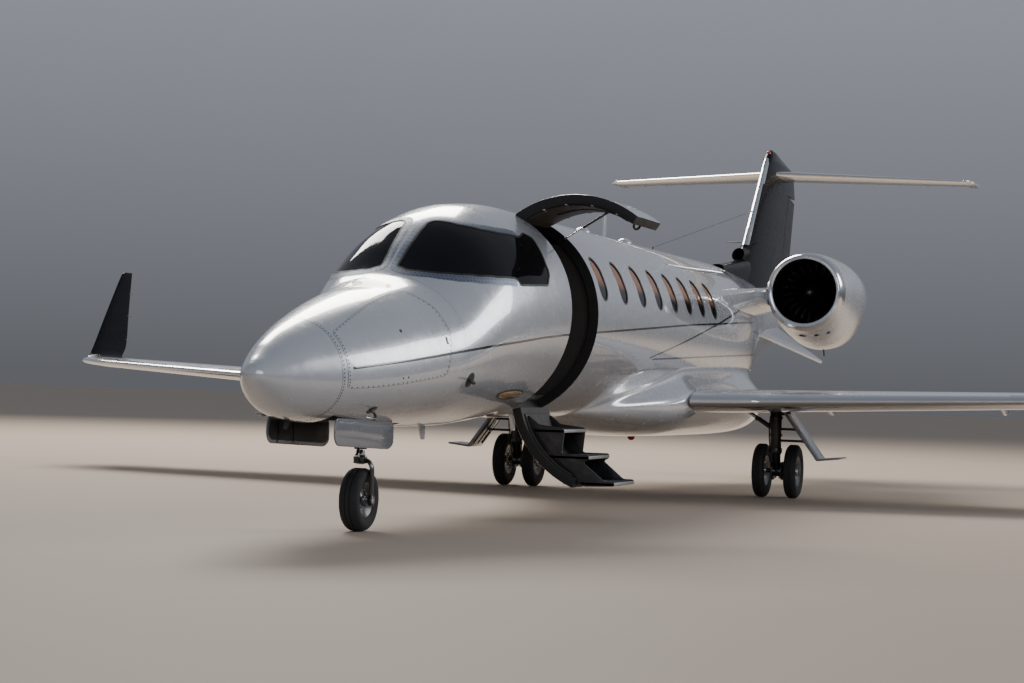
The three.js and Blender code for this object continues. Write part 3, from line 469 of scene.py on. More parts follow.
def twin(piece, name):
    """A copy with its own mesh."""
    copy = piece.copy()
    copy.data = piece.data.copy()
    copy.name = copy.data.name = name
    bpy.context.scene.collection.objects.link(copy)
    return copy


def mirrored(piece, name):
    """A copy on the other side of the centre plane."""
    copy = twin(piece, name)
    copy.data.transform(Matrix.Scale(-1, 4, (1, 0, 0)))
    copy.data.flip_normals()
    return copy


def moved(piece, matrix):
    """Moves a piece within its mesh."""
    piece.data.transform(matrix)
    return piece


def join(name, *pieces):
    """One piece from several. Their finishes stay."""
    pick(*pieces)
    if len(pieces) > 1:
        bpy.ops.object.join()
    piece = bpy.context.object
    piece.name = piece.data.name = name
    return piece


def about(point, axis, degrees):
    """The turn about a line through a point given as x, station, height."""
    middle = put(*point)
    turn = Matrix.Rotation(math.radians(degrees), 4, Vector(axis))
    return Matrix.Translation(middle) @ turn @ Matrix.Translation(-middle)


def rounded(outline, radius, steps=5):
    """An outline with its corners rounded."""
    points = [np.array(point, float) for point in outline]
    made = []
    for before, corner, after in zip(points[-1:] + points[:-1], points, points[1:] + points[:1]):
        reach = [min(radius, 0.45 * np.linalg.norm(other - corner)) for other in (before, after)]
        a = corner + (before - corner) / np.linalg.norm(before - corner) * reach[0]
        b = corner + (after - corner) / np.linalg.norm(after - corner) * reach[1]
        for i in range(steps + 1):
            t = i / steps
            made.append(tuple((1 - t) ** 2 * a + 2 * t * (1 - t) * corner + t * t * b))
    return made


def soften(piece, angle=SMOOTH_ANGLE):
    pick(piece)
    bpy.ops.object.shade_smooth_by_angle(angle=angle)


def faired(piece, turn=None):
    """Gives the faces on the body's outside the body's own smooth shading. turn is the piece's own turn."""
    soften(piece)
    mesh = piece.data
    back = turn.inverted() if turn else Matrix.Identity(4)
    corners = np.zeros(len(mesh.loops) * 3, np.float32)
    mesh.corner_normals.foreach_get("vector", corners)
    corners = corners.reshape(-1, 3)
    points = np.array([back @ v.co for v in mesh.vertices], float).reshape(-1, 3)
    normals, away = body_normals(points)
    spin = back.to_3x3()
    forward = np.array(spin.transposed())
    for face in mesh.polygons:
        ids = list(face.vertices)
        if np.abs(away[ids]).max() > 6e-4:
            continue
        if (spin @ face.normal).dot(Vector(normals[ids].mean(axis=0))) < 0.7:
            continue
        loops = range(face.loop_start, face.loop_start + face.loop_total)
        for loop, vertex in zip(loops, ids):
            corners[loop] = forward @ normals[vertex]
    mesh.normals_split_custom_set([tuple(map(float, normal)) for normal in corners])


def wear(piece, *finishes):
    """Gives a piece its finishes, the first one everywhere."""
    piece.data.materials.clear()
    for name in finishes:
        piece.data.materials.append(finish(name))
    return piece


def assign(piece, slot, test):
    """Gives a finish to the faces whose middle and direction pass a test."""
    for face in piece.data.polygons:
        if test(face.center, face.normal):
            face.material_index = slot


def done(piece, body, slot, *nodes):
    """A finished piece: it rides on a body and stands for nodes, whose imported parts it hides. The slot is not
    used.
    """
    if nodes:
        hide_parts(*nodes)
    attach(piece, body)
    return piece


# Shader maths


class Socket:
    """A shader value with its arithmetic."""

    def __init__(self, shade, socket):
        self.shade, self.socket = shade, socket

    def calc(self, operation, *values):
        return self.shade.node("ShaderNodeMath", {"operation": operation}, dict(enumerate(values)))

    def __add__(self, other):
        return self.calc("ADD", self, other)

    __radd__ = __add__

    def __sub__(self, other):
        return self.calc("SUBTRACT", self, other)

    def __rsub__(self, other):
        return self.calc("SUBTRACT", other, self)

    def __mul__(self, other):
        return self.calc("MULTIPLY", self, other)

    __rmul__ = __mul__

    def __truediv__(self, other):
        return self.calc("DIVIDE", self, other)

    def __lt__(self, other):
        return self.calc("LESS_THAN", self, other)

    def __gt__(self, other):
        return self.calc("GREATER_THAN", self, other)

    def __abs__(self):
        return self.calc("ABSOLUTE", self)

    def most(self, other):
        return self.calc("MAXIMUM", self, other)

    def modulo(self, other):
        return self.calc("FLOORED_MODULO", self, other)


class Shade:
    """A material and its nodes. Sockets named on creation are set on the surface shader."""

    def __init__(self, name, **surface):
        self.material = bpy.data.materials.new(name)
        self.material.use_nodes = True
        self.tree = self.material.node_tree
        self.shader = self.tree.nodes["Principled BSDF"]
        self.set(self.shader, surface)
        place = self.node("ShaderNodeTexCoord", output="Object")
        self.place = place
        split = self.make("ShaderNodeSeparateXYZ", {}, {"Vector": place})
        self.x, self.y, self.z = (Socket(self, output) for output in split.outputs)

    def make(self, kind, settings, sockets):
        node = self.tree.nodes.new(kind)
        for key, value in settings.items():
            if key == "stops":
                self.stops(node, value)
            else:
                setattr(node, key, value)
        self.set(node, sockets)
        return node

    def stops(self, node, stops):
        elements = node.color_ramp.elements
        while len(elements) < len(stops):
            elements.new(1)
        for element, (position, value) in zip(elements, stops):
            element.position = position
        for element, (position, value) in zip(elements, stops):
            element.color = (value, value, value, 1) if isinstance(value, float) else (*value, 1)

    def set(self, node, sockets):
        for key, value in sockets.items():
            socket = node.inputs[key]
            if isinstance(value, Socket):
                self.tree.links.new(value.socket, socket)
            elif isinstance(value, tuple) and socket.type == "RGBA":
                socket.default_value = (*value, 1)
            else:
                socket.default_value = value

    def node(self, kind, settings=None, sockets=None, output=0):
        """Any node: its type, its settings, the values or links of its sockets, and the output to use."""
        return Socket(self, self.make(kind, settings or {}, sockets or {}).outputs[output])

    def give(self, **sockets):
        """Sets or links the surface shader's sockets, spaces written as underlines."""
        self.set(self.shader, {key.replace("_", " "): value for key, value in sockets.items()})
        return self

    def noise(self, scale, detail=2.0, roughness=0.5, stretch=None):
        vector = self.place
        if stretch:
            vector = self.node("ShaderNodeMapping", {}, {"Vector": vector, "Scale": stretch})
        sockets = {"Vector": vector, "Scale": scale, "Detail": detail, "Roughness": roughness}
        return self.node("ShaderNodeTexNoise", {}, sockets)

    def mix(self, factor, a, b):
        """One colour into another."""
        node = self.make("ShaderNodeMix", {"data_type": "RGBA"}, {})
        for socket, value in ((node.inputs[0], factor), (node.inputs[6], a), (node.inputs[7], b)):
            if isinstance(value, Socket):
                self.tree.links.new(value.socket, socket)
            else:
                socket.default_value = (*value, 1) if isinstance(value, tuple) else value
        return Socket(self, node.outputs[2])

    def fade(self, value, low, high, from_value=0.0, to_value=1.0):
        """A smooth step between two limits of a value."""
        settings = {"interpolation_type": "SMOOTHSTEP"}
        sockets = {
            "Value": value,
            "From Min": low,
            "From Max": high,
            "To Min": from_value,
            "To Max": to_value,
        }
        return self.node("ShaderNodeMapRange", settings, sockets)

    def bump(self, height, distance, strength=1.0):
        sockets = {"Height": height, "Distance": distance, "Strength": strength}
        return self.give(Normal=self.node("ShaderNodeBump", {}, sockets))

    def line(self, value, middle, half):
        """A thin line where a value is near a middle."""
        return abs(value - middle) < half

    def stripe(self, points, half):
        """A line along stations and heights, on both sides."""
        stations = [(s - MIDSHIPS) / 1000 for s, _ in points]
        heights = [z / 1000 for _, z in points]
        span, rise = stations[-1] - stations[0], heights[-1] - heights[0]
        stops = [((s - stations[0]) / span, (z - heights[0]) / rise) for s, z in zip(stations, heights)]
        share = (self.y - stations[0]) / span
        level = self.node("ShaderNodeValToRGB", {"stops": stops}, {"Fac": share})
        middle = level * rise + heights[0]
        inside = (share > 0) * (share < 1)
        return (abs(self.z - middle) < half) * inside


# Finishes

FINISHES = {}
PEARL = 0.35


def colours():
    return bpy.context.scene.jet_colours


def sizes():
    return bpy.context.scene.jet_sizes


def finish(name):
    """The material of a finish, made the first time it is asked for."""
    if name not in FINISHES:
        FINISHES[name] = MAKERS[name](name)
    return FINISHES[name]


def gloss_paint(name, colour, pearl=0.0):
    """Polished enamel with faint tone and gloss variation. Pearl is the share of metal flake in it."""
    shade = Shade(name, **{"Coat Weight": 1.0, "Coat Roughness": 0.03, "IOR": 1.5})
    tone = shade.noise(1.3, 4.0)
    film = shade.noise(14.0, 5.0, 0.6)
    pale = tuple(min(1.0, value * 1.05) for value in colour)
    dim = tuple(value * 0.94 for value in colour)
    base = shade.mix(tone, dim, pale)
    shade.give(Roughness=shade.fade(film, 0.3, 0.7, 0.2, 0.28), Metallic=pearl)
    return shade, base


def body_paint(name):
    """White enamel with black trim lines, fine panel joints and a little grime below."""
    # The body colour is a white darkened to grey-blue: partly painted shade.
    paint, black = tuple(colours().body), tuple(colours().trim)
    shade, base = gloss_paint(name, paint, PEARL)
    grime = shade.fade(shade.z, 0.62, 1.15, 1.0, 0.0) * shade.fade(shade.noise(5.0, 6.0, 0.6), 0.35, 0.75)
    base = shade.mix(grime * 0.3, base, tuple(colours().grime))
    joints = shade.line(shade.y, (RADOME_JOINT - MIDSHIPS) / 1000, 0.0026)
    for station in (NOSE_JOINT + 40, CABIN_END - 430, 12790, 14600):
        joints = joints.most(shade.line(shade.y, (station - MIDSHIPS) / 1000, 0.0014))
    joints = joints * (abs(shade.x) < 1.0)
    base = shade.mix(joints * 0.75, base, (0.06, 0.06, 0.065))
    lines = shade.stripe(STRIPES[0], sizes().trim_line)
    for points in STRIPES[1:]:
        lines = lines.most(shade.stripe(points, sizes().trim_line))
    base = shade.mix(lines, base, black)
    return shade.give(Base_Color=base).material


def white_paint(name):
    shade, base = gloss_paint(name, tuple(colours().body), PEARL)
    grime = shade.fade(shade.noise(3.0, 6.0, 0.65), 0.5, 0.8)
    base = shade.mix(grime * 0.12, base, tuple(colours().grime))
    return shade.give(Base_Color=base).material


def wing_paint(name):
    """White enamel with the joints of the panels across a wing."""
    shade, base = gloss_paint(name, tuple(colours().body), PEARL)
    joints = None
    for x in (1.9, 2.9, 3.9, 4.9, 5.9):
        line = shade.line(abs(shade.x), x, 0.0014)
        joints = line if joints is None else joints.most(line)
    base = shade.mix(joints * 0.5, base, (0.08, 0.08, 0.085))
    grime = shade.fade(shade.noise(3.0, 6.0, 0.65), 0.45, 0.8)
    base = shade.mix(grime * 0.15, base, tuple(colours().grime))
    return shade.give(Base_Color=base).material


def black_paint(name):
    """Deep black enamel."""
    shade, base = gloss_paint(name, tuple(colours().trim))
    dust = shade.fade(shade.noise(7.0, 6.0, 0.7), 0.45, 0.8)
    base = shade.mix(dust * 0.02, base, (0.2, 0.2, 0.21))
    return shade.give(Base_Color=base, Coat_Weight=0.04, Specular_IOR_Level=0.08).material


def metal(name, colour, roughness, spread, grain=(1.0, 1.0, 1.0), scale=40.0):
    """Bare metal with a soft grain."""
    shade = Shade(name, **{"Metallic": 1.0})
    marks = shade.noise(scale, 5.0, 0.6, grain)
    cloud = shade.noise(2.5, 3.0)
    dim = tuple(value * 0.82 for value in colour)
    shade.give(Base_Color=shade.mix(cloud, dim, colour))
    shade.give(Roughness=shade.fade(marks, 0.3, 0.7, roughness, roughness + spread))
    shade.bump(marks, 0.0002, 0.25)
    return shade.material


def polished_metal(name):
    return metal(name, (0.86, 0.87, 0.88), 0.09, 0.09, (1.0, 1.0, 1.0), 9.0)


def screen_frame(name):
    """The windscreen's bare metal bands."""
    return metal(name, (0.27, 0.31, 0.38), 0.42, 0.16, (1.0, 1.0, 1.0), 40.0)


def brushed_metal(name):
    return metal(name, (0.55, 0.56, 0.58), 0.28, 0.14, (1.0, 14.0, 1.0), 60.0)


def dark_metal(name):
    return metal(name, (0.16, 0.16, 0.17), 0.35, 0.2, (1.0, 6.0, 1.0), 50.0)


def chrome(name):
    return metal(name, (0.9, 0.9, 0.92), 0.05, 0.05, (1.0, 1.0, 4.0), 80.0)


def gear_paint(name):
    """Near-black enamel of the landing gear, greyed by dust and oil."""
    shade = Shade(name, **{"Coat Weight": 0.5, "Coat Roughness": 0.2})
    dust = shade.fade(shade.noise(9.0, 6.0, 0.65), 0.45, 0.75)
    shade.give(Base_Color=shade.mix(dust, (0.016, 0.016, 0.018), (0.05, 0.046, 0.042)))
    shade.give(Roughness=shade.fade(dust, 0.0, 1.0, 0.32, 0.6))
    return shade.bump(shade.noise(160.0, 3.0), 0.0002).material


def door_paint(name):
    """Darker gloss enamel of the gear doors, scuffed at random."""
    shade, base = gloss_paint(name, (0.2, 0.215, 0.245))
    scuffs = shade.fade(shade.noise(26.0, 6.0, 0.7), 0.58, 0.72)
    return shade.give(Base_Color=shade.mix(scuffs * 0.35, base, (0.5, 0.5, 0.52))).material


def duct_metal(name):
    """The inlet duct's inside, near black: painted shade deep in the inlet."""
    return metal(name, (0.03, 0.03, 0.033), 0.4, 0.2, (1.0, 1.0, 1.0), 30.0)


def fan_metal(name):
    return metal(name, (0.05, 0.05, 0.055), 0.3, 0.15, (1.0, 1.0, 3.0), 60.0)


def cowl_paint(name):
    """White enamel with the cowling's joints and split line, and a little grime."""
    shade, base = gloss_paint(name, tuple(colours().body), PEARL)
    front = (INLET - MIDSHIPS) / 1000
    joints = shade.line(shade.y, front + 0.95, 0.0016).most(shade.line(shade.y, front + 2.25, 0.0016))
    split = shade.line(shade.z, ENGINE[1] / 1000 - 0.12, 0.0016) * (shade.y > front + 0.95)
    base = shade.mix(joints.most(split * (shade.y < front + 2.25)) * 0.8, base, (0.05, 0.05, 0.055))
    grime = shade.fade(shade.noise(3.0, 6.0, 0.65), 0.45, 0.8)
    base = shade.mix(grime * 0.14, base, tuple(colours().grime))
    return shade.give(Base_Color=base).material


def burnt_metal(name):
    """Exhaust metal, blued and browned by heat towards its rear edge."""
    shade = Shade(name, **{"Metallic": 1.0})
    heat = shade.fade(shade.y + shade.noise(4.0, 4.0) * 0.3, 4.6, 5.5)
    base = shade.mix(heat, (0.42, 0.41, 0.4), (0.2, 0.165, 0.14))
    base = shade.mix(shade.fade(shade.noise(9.0, 4.0), 0.5, 0.7) * 0.4, base, (0.14, 0.15, 0.2))
    shade.give(Base_Color=base, Roughness=shade.fade(shade.noise(30.0, 4.0), 0.3, 0.7, 0.3, 0.5))
    return shade.material


def dull(name, colour, roughness, scale, depth, speckle=0.25, **surface):
    """A matt moulded or coated finish with a fine grain."""
    shade = Shade(name, **surface)
    grain = shade.noise(scale, 4.0, 0.6)
    wide = shade.noise(scale / 25, 4.0, 0.6)
    dim = tuple(value * (1 - speckle) for value in colour)
    pale = tuple(min(1.0, value * (1 + speckle)) for value in colour)
    shade.give(Base_Color=shade.mix(wide, dim, pale))
    shade.give(Roughness=shade.fade(wide, 0.3, 0.7, roughness - 0.06, roughness + 0.06))
    shade.bump(grain, depth)
    return shade


def tyre_rubber(name):
    """Tyre rubber with a fine grain and tone."""
    shade = dull(name, (0.022, 0.022, 0.024), 0.78, 240.0, 0.0004)
    return shade.material


def seal_rubber(name):
    return dull(name, (0.012, 0.012, 0.013), 0.55, 300.0, 0.0002).material


def lining(name):
    return dull(name, tuple(colours().lining), 0.62, 420.0, 0.0003, 0.06).material


def dark_trim(name):
    return dull(name, (0.03, 0.031, 0.033), 0.5, 300.0, 0.0003).material


# Near-black lining: painted shade inside the nose bay, cockpit, entry, door halves, tail and baggage door, and on
# the entry partition; on the seat straps it is their own dark colour.
def dark_lining(name):
    return dull(name, (0.045, 0.04, 0.036), 0.6, 300.0, 0.0003).material


def dark_wood(name):
    """Lacquered veneer with grain, kept near black as painted shade of the entry where the galley stands."""
    shade = Shade(name, **{"Coat Weight": 0.6, "Coat Roughness": 0.1})
    rings = shade.noise(6.0, 6.0, 0.6, (6.0, 6.0, 0.7))
    base = shade.mix(shade.fade(rings, 0.35, 0.65), (0.02, 0.011, 0.007), (0.06, 0.034, 0.02))
    return shade.give(Base_Color=base, Roughness=0.4).material


def carpet(name):
    return dull(name, (0.2, 0.17, 0.13), 0.95, 600.0, 0.003, 0.3).material


def wood(name):
    """Lacquered veneer, its grain running upright."""
    shade = Shade(name, **{"Coat Weight": 0.7, "Coat Roughness": 0.06})
    rings = shade.noise(6.0, 6.0, 0.6, (6.0, 6.0, 0.7))
    base = shade.mix(shade.fade(rings, 0.35, 0.65), (0.11, 0.045, 0.018), (0.3, 0.14, 0.055))
    return shade.give(Base_Color=base, Roughness=0.3).material


def leather(name):
    """Soft hide with a pebbled grain and creases."""
    shade = Shade(name, **{"IOR": 1.45})
    pebble = shade.node(
        "ShaderNodeTexVoronoi", {}, {"Vector": shade.place, "Scale": 320.0, "Randomness": 1.0}
    )
    crease = shade.noise(28.0, 5.0, 0.6)
    base = tuple(colours().leather)
    dim = tuple(value * 0.8 for value in base)
    shade.give(Base_Color=shade.mix(shade.fade(crease, 0.3, 0.7), dim, base))
    shade.give(Roughness=shade.fade(crease, 0.3, 0.7, 0.42, 0.58))
    shade.bump(pebble * 0.4 + crease * 0.6, 0.0008)
    return shade.material


def painted_shade_glass(name, colour=(0.004, 0.004, 0.005)):
    """Tinted laminated glass, opaque and near black: painted shade of the flight deck behind it."""
    shade = Shade(name, **{"IOR": 1.5, "Specular IOR Level": 0.16})
    film = shade.noise(3.0, 4.0)
    shade.give(Base_Color=shade.mix(film, colour, tuple(value * 1.6 for value in colour)))
    shade.give(Roughness=shade.fade(film, 0.3, 0.7, 0.03, 0.06))
    return shade.material


def cabin_glass(name):
    """Opaque cabin window glass: near black below as painted shade of the cabin behind it, and copper metal on its
    upper half as a painted reflection of warm light.
    """
    shade = Shade(name, **{"IOR": 1.4, "Specular IOR Level": 0.25})
    # Painted reflection: the upper half is copper and metallic; the rest is near black as painted shade.
    copper_painted_reflection = shade.fade(shade.z + shade.noise(2.5, 3.0) * 0.12, 2.0, 2.12)
    base = shade.mix(copper_painted_reflection, (0.012, 0.012, 0.013), (0.72, 0.3, 0.12))
    shade.give(Base_Color=base, Metallic=copper_painted_reflection, Roughness=0.12)
    return shade.material


def lamp_glass(name):
    shade = Shade(name, **{"IOR": 1.5, "Coat Weight": 1.0})
    flutes = shade.noise(60.0, 2.0)
    shade.give(Base_Color=shade.mix(flutes, (0.5, 0.52, 0.55), (0.85, 0.87, 0.9)), Roughness=0.1)
    return shade.bump(flutes, 0.001).material


def lamp_colour(name, colour):
    shade = Shade(name, **{"IOR": 1.5, "Coat Weight": 1.0})
    ribs = shade.noise(50.0, 2.0)
    dim = tuple(value * 0.6 for value in colour)
    return shade.give(Base_Color=shade.mix(ribs, dim, colour), Roughness=0.12).material


def display(name):
    """A lit flight display: horizon and scales, none of it lettered."""
    shade = Shade(name, **{"Coat Weight": 1.0, "Coat Roughness": 0.05, "Emission Strength": 1.2})
    column = (shade.x + 0.8).modulo(0.36)
    sky = shade.fade(shade.z, 1.628, 1.632)
    horizon = shade.mix(sky, (0.09, 0.045, 0.015), (0.015, 0.07, 0.2))
    ticks = ((shade.z * 60.0).modulo(1.0) < 0.12) * (abs(column - 0.18) < 0.03)
    rim = abs(column - 0.18) > 0.165
    face = shade.mix(ticks, horizon, (0.6, 0.6, 0.6))
    face = shade.mix(rim, face, (0.005, 0.005, 0.006))
    return shade.give(Base_Color=(0.01, 0.01, 0.012), Emission_Color=face, Roughness=0.15).material


MAKERS = {
    "body_paint": body_paint,
    "white_paint": white_paint,
    "wing_paint": wing_paint,
    "black_paint": black_paint,
    "polished_metal": polished_metal,
    "brushed_metal": brushed_metal,
    "screen_frame": screen_frame,
    "dark_metal": dark_metal,
    "chrome": chrome,
    "burnt_metal": burnt_metal,
    "duct_metal": duct_metal,
    "gear_paint": gear_paint,
    "door_paint": door_paint,
    "fan_metal": fan_metal,
    "cowl_paint": cowl_paint,
    "tyre_rubber": tyre_rubber,
    "seal_rubber": seal_rubber,
    "lining": lining,
    "dark_trim": dark_trim,
    "dark_lining": dark_lining,
    "carpet": carpet,
    "wood": wood,
    "dark_wood": dark_wood,
    "leather": leather,
    "screen_glass": painted_shade_glass,
    "cabin_glass": cabin_glass,
    "lamp_glass": lamp_glass,
    "lamp_red": lambda name: lamp_colour(name, (0.6, 0.02, 0.015)),
    "lamp_amber": lambda name: lamp_colour(name, (0.62, 0.4, 0.2)),
    "lamp_green": lambda name: lamp_colour(name, (0.01, 0.35, 0.08)),
    "display": display,
}


# Body


def facing(piece, direction):
    """Turns an open skin's faces to one side."""
    total = sum((face.normal * face.area for face in piece.data.polygons), Vector())
    if total.dot(Vector(direction)) < 0:
        piece.data.flip_normals()
    return piece


def tube_skin(name, front, rear, rows, around=112, ends=False):
    """The body's outside between two stations. Its rows stand closer towards the nose tip."""
    def place(u, v):
        share = v * v if front == NOSE_TIP else v
        return body_point(front + (rear - front) * share, 360 * u)

    return sheet(name, around, rows, place, ends)


def loop_points(outline, grow=0):
    """A closed outline drawn out along its own normals."""
    points = np.array(outline, float)
    run = np.roll(points, -1, axis=0) - np.roll(points, 1, axis=0)
    run /= np.linalg.norm(run, axis=1, keepdims=True)
    out = np.stack([run[:, 1], -run[:, 0]], axis=1)
    area = np.sum(points[:, 0] * np.roll(points[:, 1], -1) - np.roll(points[:, 0], -1) * points[:, 1])
    return points + out * grow * (1 if area > 0 else -1)


def on_side(side):
    """Puts a station and height on the body's side, port 1 or starboard -1."""
    return lambda s, z, deep=0: put(side * body_x(s, z, deep), s, z)


def round_body(side):
    """Puts a station and a length round the body from its widest point on the body."""

    def place(s, length, deep=0):
        point = body_point(s, length / DEGREE, deep)
        return Vector((side * point.x, point.y, point.z))

    return place


def rim(name, outline, profile, side, onto=on_side, part=None):
    """A moulding round an outline on the body, or along a part of it, from one point's number to another's.
    The profile is (grown outwards, depth below the skin)."""
    place_on = onto(side)
    rings = [loop_points(outline, grow) for grow, _ in profile]
    first, last = part or (0, len(outline))

    def place(u, v):
        row = round(v * (len(profile) - 1))
        s, z = rings[row][(first + round(u * (last - first))) % len(outline)]
        return place_on(s, z, profile[row][1])

    return facing(sheet(name, last - first, len(profile) - 1, place), (side, 0, 0))


def dish(name, outline, middle, deep, side, rings=6, onto=on_side):
    """A pane that fills an outline and follows the body, set in by a depth."""
    place_on = onto(side)
    centre = np.array(middle, float)

    def place(u, v):
        point = np.array(outline[round(u * len(outline)) % len(outline)])
        s, z = centre + (point - centre) * v
        return place_on(s, z, deep)

    piece = facing(sheet(name, len(outline), rings, place), (side, 0, 0))
    walled(piece, 8)
    soften(piece)
    return piece


def studs(name, places, radius, finish_name, height=1.2):
    """Fastener heads. Each place is a point and the direction it faces, in metres."""
    start()
    bpy.ops.mesh.primitive_cone_add(
        vertices=8, radius1=radius / 1000, radius2=radius / 1500, depth=2 * height / 1000
    )
    head = named(name + "_head")
    copies = []
    for row, (point, direction) in enumerate(places):
        copy = twin(head, f"{name}_{row}")
        turn = Vector(direction).to_track_quat("Z", "Y").to_matrix().to_4x4()
        moved(copy, Matrix.Translation(point) @ turn)
        copies.append(copy)
    bpy.data.objects.remove(head)
    return wear(join(name, *copies), finish_name)


def along_line(points, spacing, closed=False):
    """Points at even spacing along a line on the side view."""
    line = np.array(points + points[:1] if closed else points, float)
    lengths = np.concatenate([[0], np.cumsum(np.linalg.norm(np.diff(line, axis=0), axis=1))])
    count = max(1, round(lengths[-1] / spacing))
    marks = np.linspace(0, lengths[-1], count + 1)[: count if closed else None]
    return list(zip(*(np.interp(marks, lengths, line[:, axis]) for axis in (0, 1))))


def body_places(marks, sides=(1, -1), onto=on_side):
    """Points of the side view put on the body with the way it faces there."""
    found = []
    for side in sides:
        points = np.array([onto(side)(s, z) for s, z in marks], float)
        found += list(zip(map(Vector, points), map(Vector, body_normals(points)[0])))
    return found


def sector(name, low, high, stations, gap=0):
    """A wedge about the body's axis between two angles above the port side."""
    low, high = math.radians(low), math.radians(high)
    middle, half = (low + high) / 2, (high - low) / 2
    shift = gap / 2 / math.sin(min(half, math.pi / 2))
    apex = (math.cos(middle) * shift, AXIS_HEIGHT + math.sin(middle) * shift)
    arc = [middle - half + 2 * half * i / 6 for i in range(7)]
    outline = [apex] + [(apex[0] + 2500 * math.cos(a), apex[1] + 2500 * math.sin(a)) for a in arc]
    return prism(name, outline, "front", stations[0] + gap / 2, stations[1] - gap / 2)


AXIS_HEIGHT = 1686


def sector_edge(degrees):
    """The angle about the body's axis of a point at an angle of the door's section."""
    point = body_point((DOOR_FRONT + DOOR_REAR) / 2, degrees)
    return math.degrees(math.atan2(point.z * 1000 - AXIS_HEIGHT, point.x * 1000))


def window_outline(centre, grow=0):
    half, tall = WINDOW_SIZE[0] / 2, WINDOW_SIZE[1] / 2
    straight_part = tall - half
    arc = [math.pi * i / 12 for i in range(13)]
    radius = half + grow
    return [
        (centre + way * radius * math.cos(a), WINDOW_MIDDLE + way * (straight_part + radius * math.sin(a)))
        for way in (1, -1)
        for a in arc
    ]


def spaced(outline, spacing):
    """An outline with more points along its long edges."""
    made = []
    for a, b in zip(outline, outline[1:] + outline[:1]):
        count = max(1, math.ceil(math.dist(a, b) / spacing))
        made += [tuple(np.array(a) + (np.array(b) - np.array(a)) * i / count) for i in range(count)]
    return made


PANE_CORNERS = rounded([(s, angle * DEGREE) for s, angle in PANE], 40)
PANE_OUTLINE = spaced(PANE_CORNERS, 36)


def inside_body(point):
    """Whether a point is deeper than the body's skin."""
    return body_normals(np.array([point], float))[1][0] < -0.01


def build_body():
    """The painted skins from the nose tip to the tail cone."""
    nose = wear(tube_skin("radome_skin", NOSE_TIP, RADOME_JOINT, 36, ends=True), "body_paint")
    faired(nose)
    done(nose, "airframe", "white_paint", "radome")

    section_skin = wear(
        tube_skin("nose_skin", RADOME_JOINT + SEAM, NOSE_JOINT, 40, ends=True), "body_paint", "dark_lining"
    )
    half, front, rear, top = NOSE_BAY
    bay = wear(block("bay", (-half, half), (front, rear), (500, top)), "dark_lining")
    cut(section_skin, bay)
    faired(section_skin)
    done(section_skin, "airframe", "white_paint", "nose_section")

    cockpit = tube_skin("cockpit_skin", NOSE_JOINT + SEAM, DOOR_FRONT, 56)
    wear(cockpit, "body_paint", "dark_lining", "seal_rubber")
    walled(cockpit, WALL, 1, 2)
    for side in (1, -1):
        cut(cockpit, wear(pane_form(side), "seal_rubber"))
    faired(cockpit)
    done(cockpit, "airframe", "white_paint", "cockpit_shell")

    cabin = tube_skin("cabin_skin", DOOR_FRONT + SEAM, CABIN_END, 80)
    wear(cabin, "body_paint", "lining", "dark_lining")
    walled(cabin, WALL, 1, 2)
    # The inner wall ahead of the doorway's rear edge takes the near-black lining: painted shade of the entry.
    entry = (DOOR_REAR + 90 - MIDSHIPS) / 1000
    assign(cabin, 2, lambda middle, normal: middle.y < entry and inside_body(middle))
    doorway = sector(
        "doorway", sector_edge(LOWER_HINGE), sector_edge(UPPER_HINGE), (DOOR_FRONT - 40, DOOR_REAR)
    )
    # The doorway's cut edge takes black rubber: the door seal, and painted shade in the opening.
    cut(cabin, wear(doorway, "seal_rubber"))
    for side in (1, -1):
        holes = [
            prism(f"hole_{i}", window_outline(centre), "side", *sorted((side * 500, side * 1000)))
            for i, centre in enumerate(WINDOW_CENTRES)
        ]
        cut(cabin, wear(join("holes", *holes), "seal_rubber"))
    faired(cabin)
    done(cabin, "airframe", "white_paint", "cabin_crown", "cabin_belly", "cabin_wall_left", "cabin_wall_right")

    tail = tube_skin("tail_skin", CABIN_END + SEAM, BODY_END, 90, ends=True)
    wear(tail, "body_paint", "dark_lining")
    cut(tail, wear(inner_form("hold", CABIN_END + 80, 13600, 60), "dark_lining"))
    low, high = BAGGAGE["low"], BAGGAGE["high"]
    opening = sector("opening", low, high, (BAGGAGE["front"], BAGGAGE["rear"]))
    keep(opening, block("port", (300, 1000), (11000, 12200), (1000, 2000)))
    cut(tail, wear(opening, "seal_rubber"))
    faired(tail)
    done(tail, "airframe", "white_paint", "tail_section")


def pane_form(side):
    """The windscreen pane's opening as a solid that passes through the wall."""
    place_on = round_body(side)
    centre = np.array(PANE_MIDDLE, float)
    layers = [(0, -40), (0.5, -40), (1, -40), (1, 30), (1, WALL + 40), (0.5, WALL + 40), (0, WALL + 40)]

    def place(u, v):
        share, deep = layers[round(v * (len(layers) - 1))]
        point = np.array(PANE_OUTLINE[round(u * len(PANE_OUTLINE)) % len(PANE_OUTLINE)])
        s, length = centre + (point - centre) * share
        return place_on(s, length, deep)

    return sheet("pane", len(PANE_OUTLINE), len(layers) - 1, place)


def inner_form(name, front, rear, inset):
    def place(u, v):
        return body_point(front + (rear - front) * v, 360 * u, inset)

    return sheet(name, 72, 20, place, ends=True)


BAGGAGE = {"front": 11240, "rear": 11920, "low": -26, "high": 6, "depth": 50, "rear_room": 8}


# Glazing

# The band round the windscreen pane runs from its top rear corner, past the centre post, to its foot
CORNER_STEPS = 6
BAND_ENDS = (21 * CORNER_STEPS + 3, 8 * CORNER_STEPS + 3)
BAND = [PANE_OUTLINE.index(PANE_CORNERS[number]) for number in BAND_ENDS]
BAND[1] += len(PANE_OUTLINE)


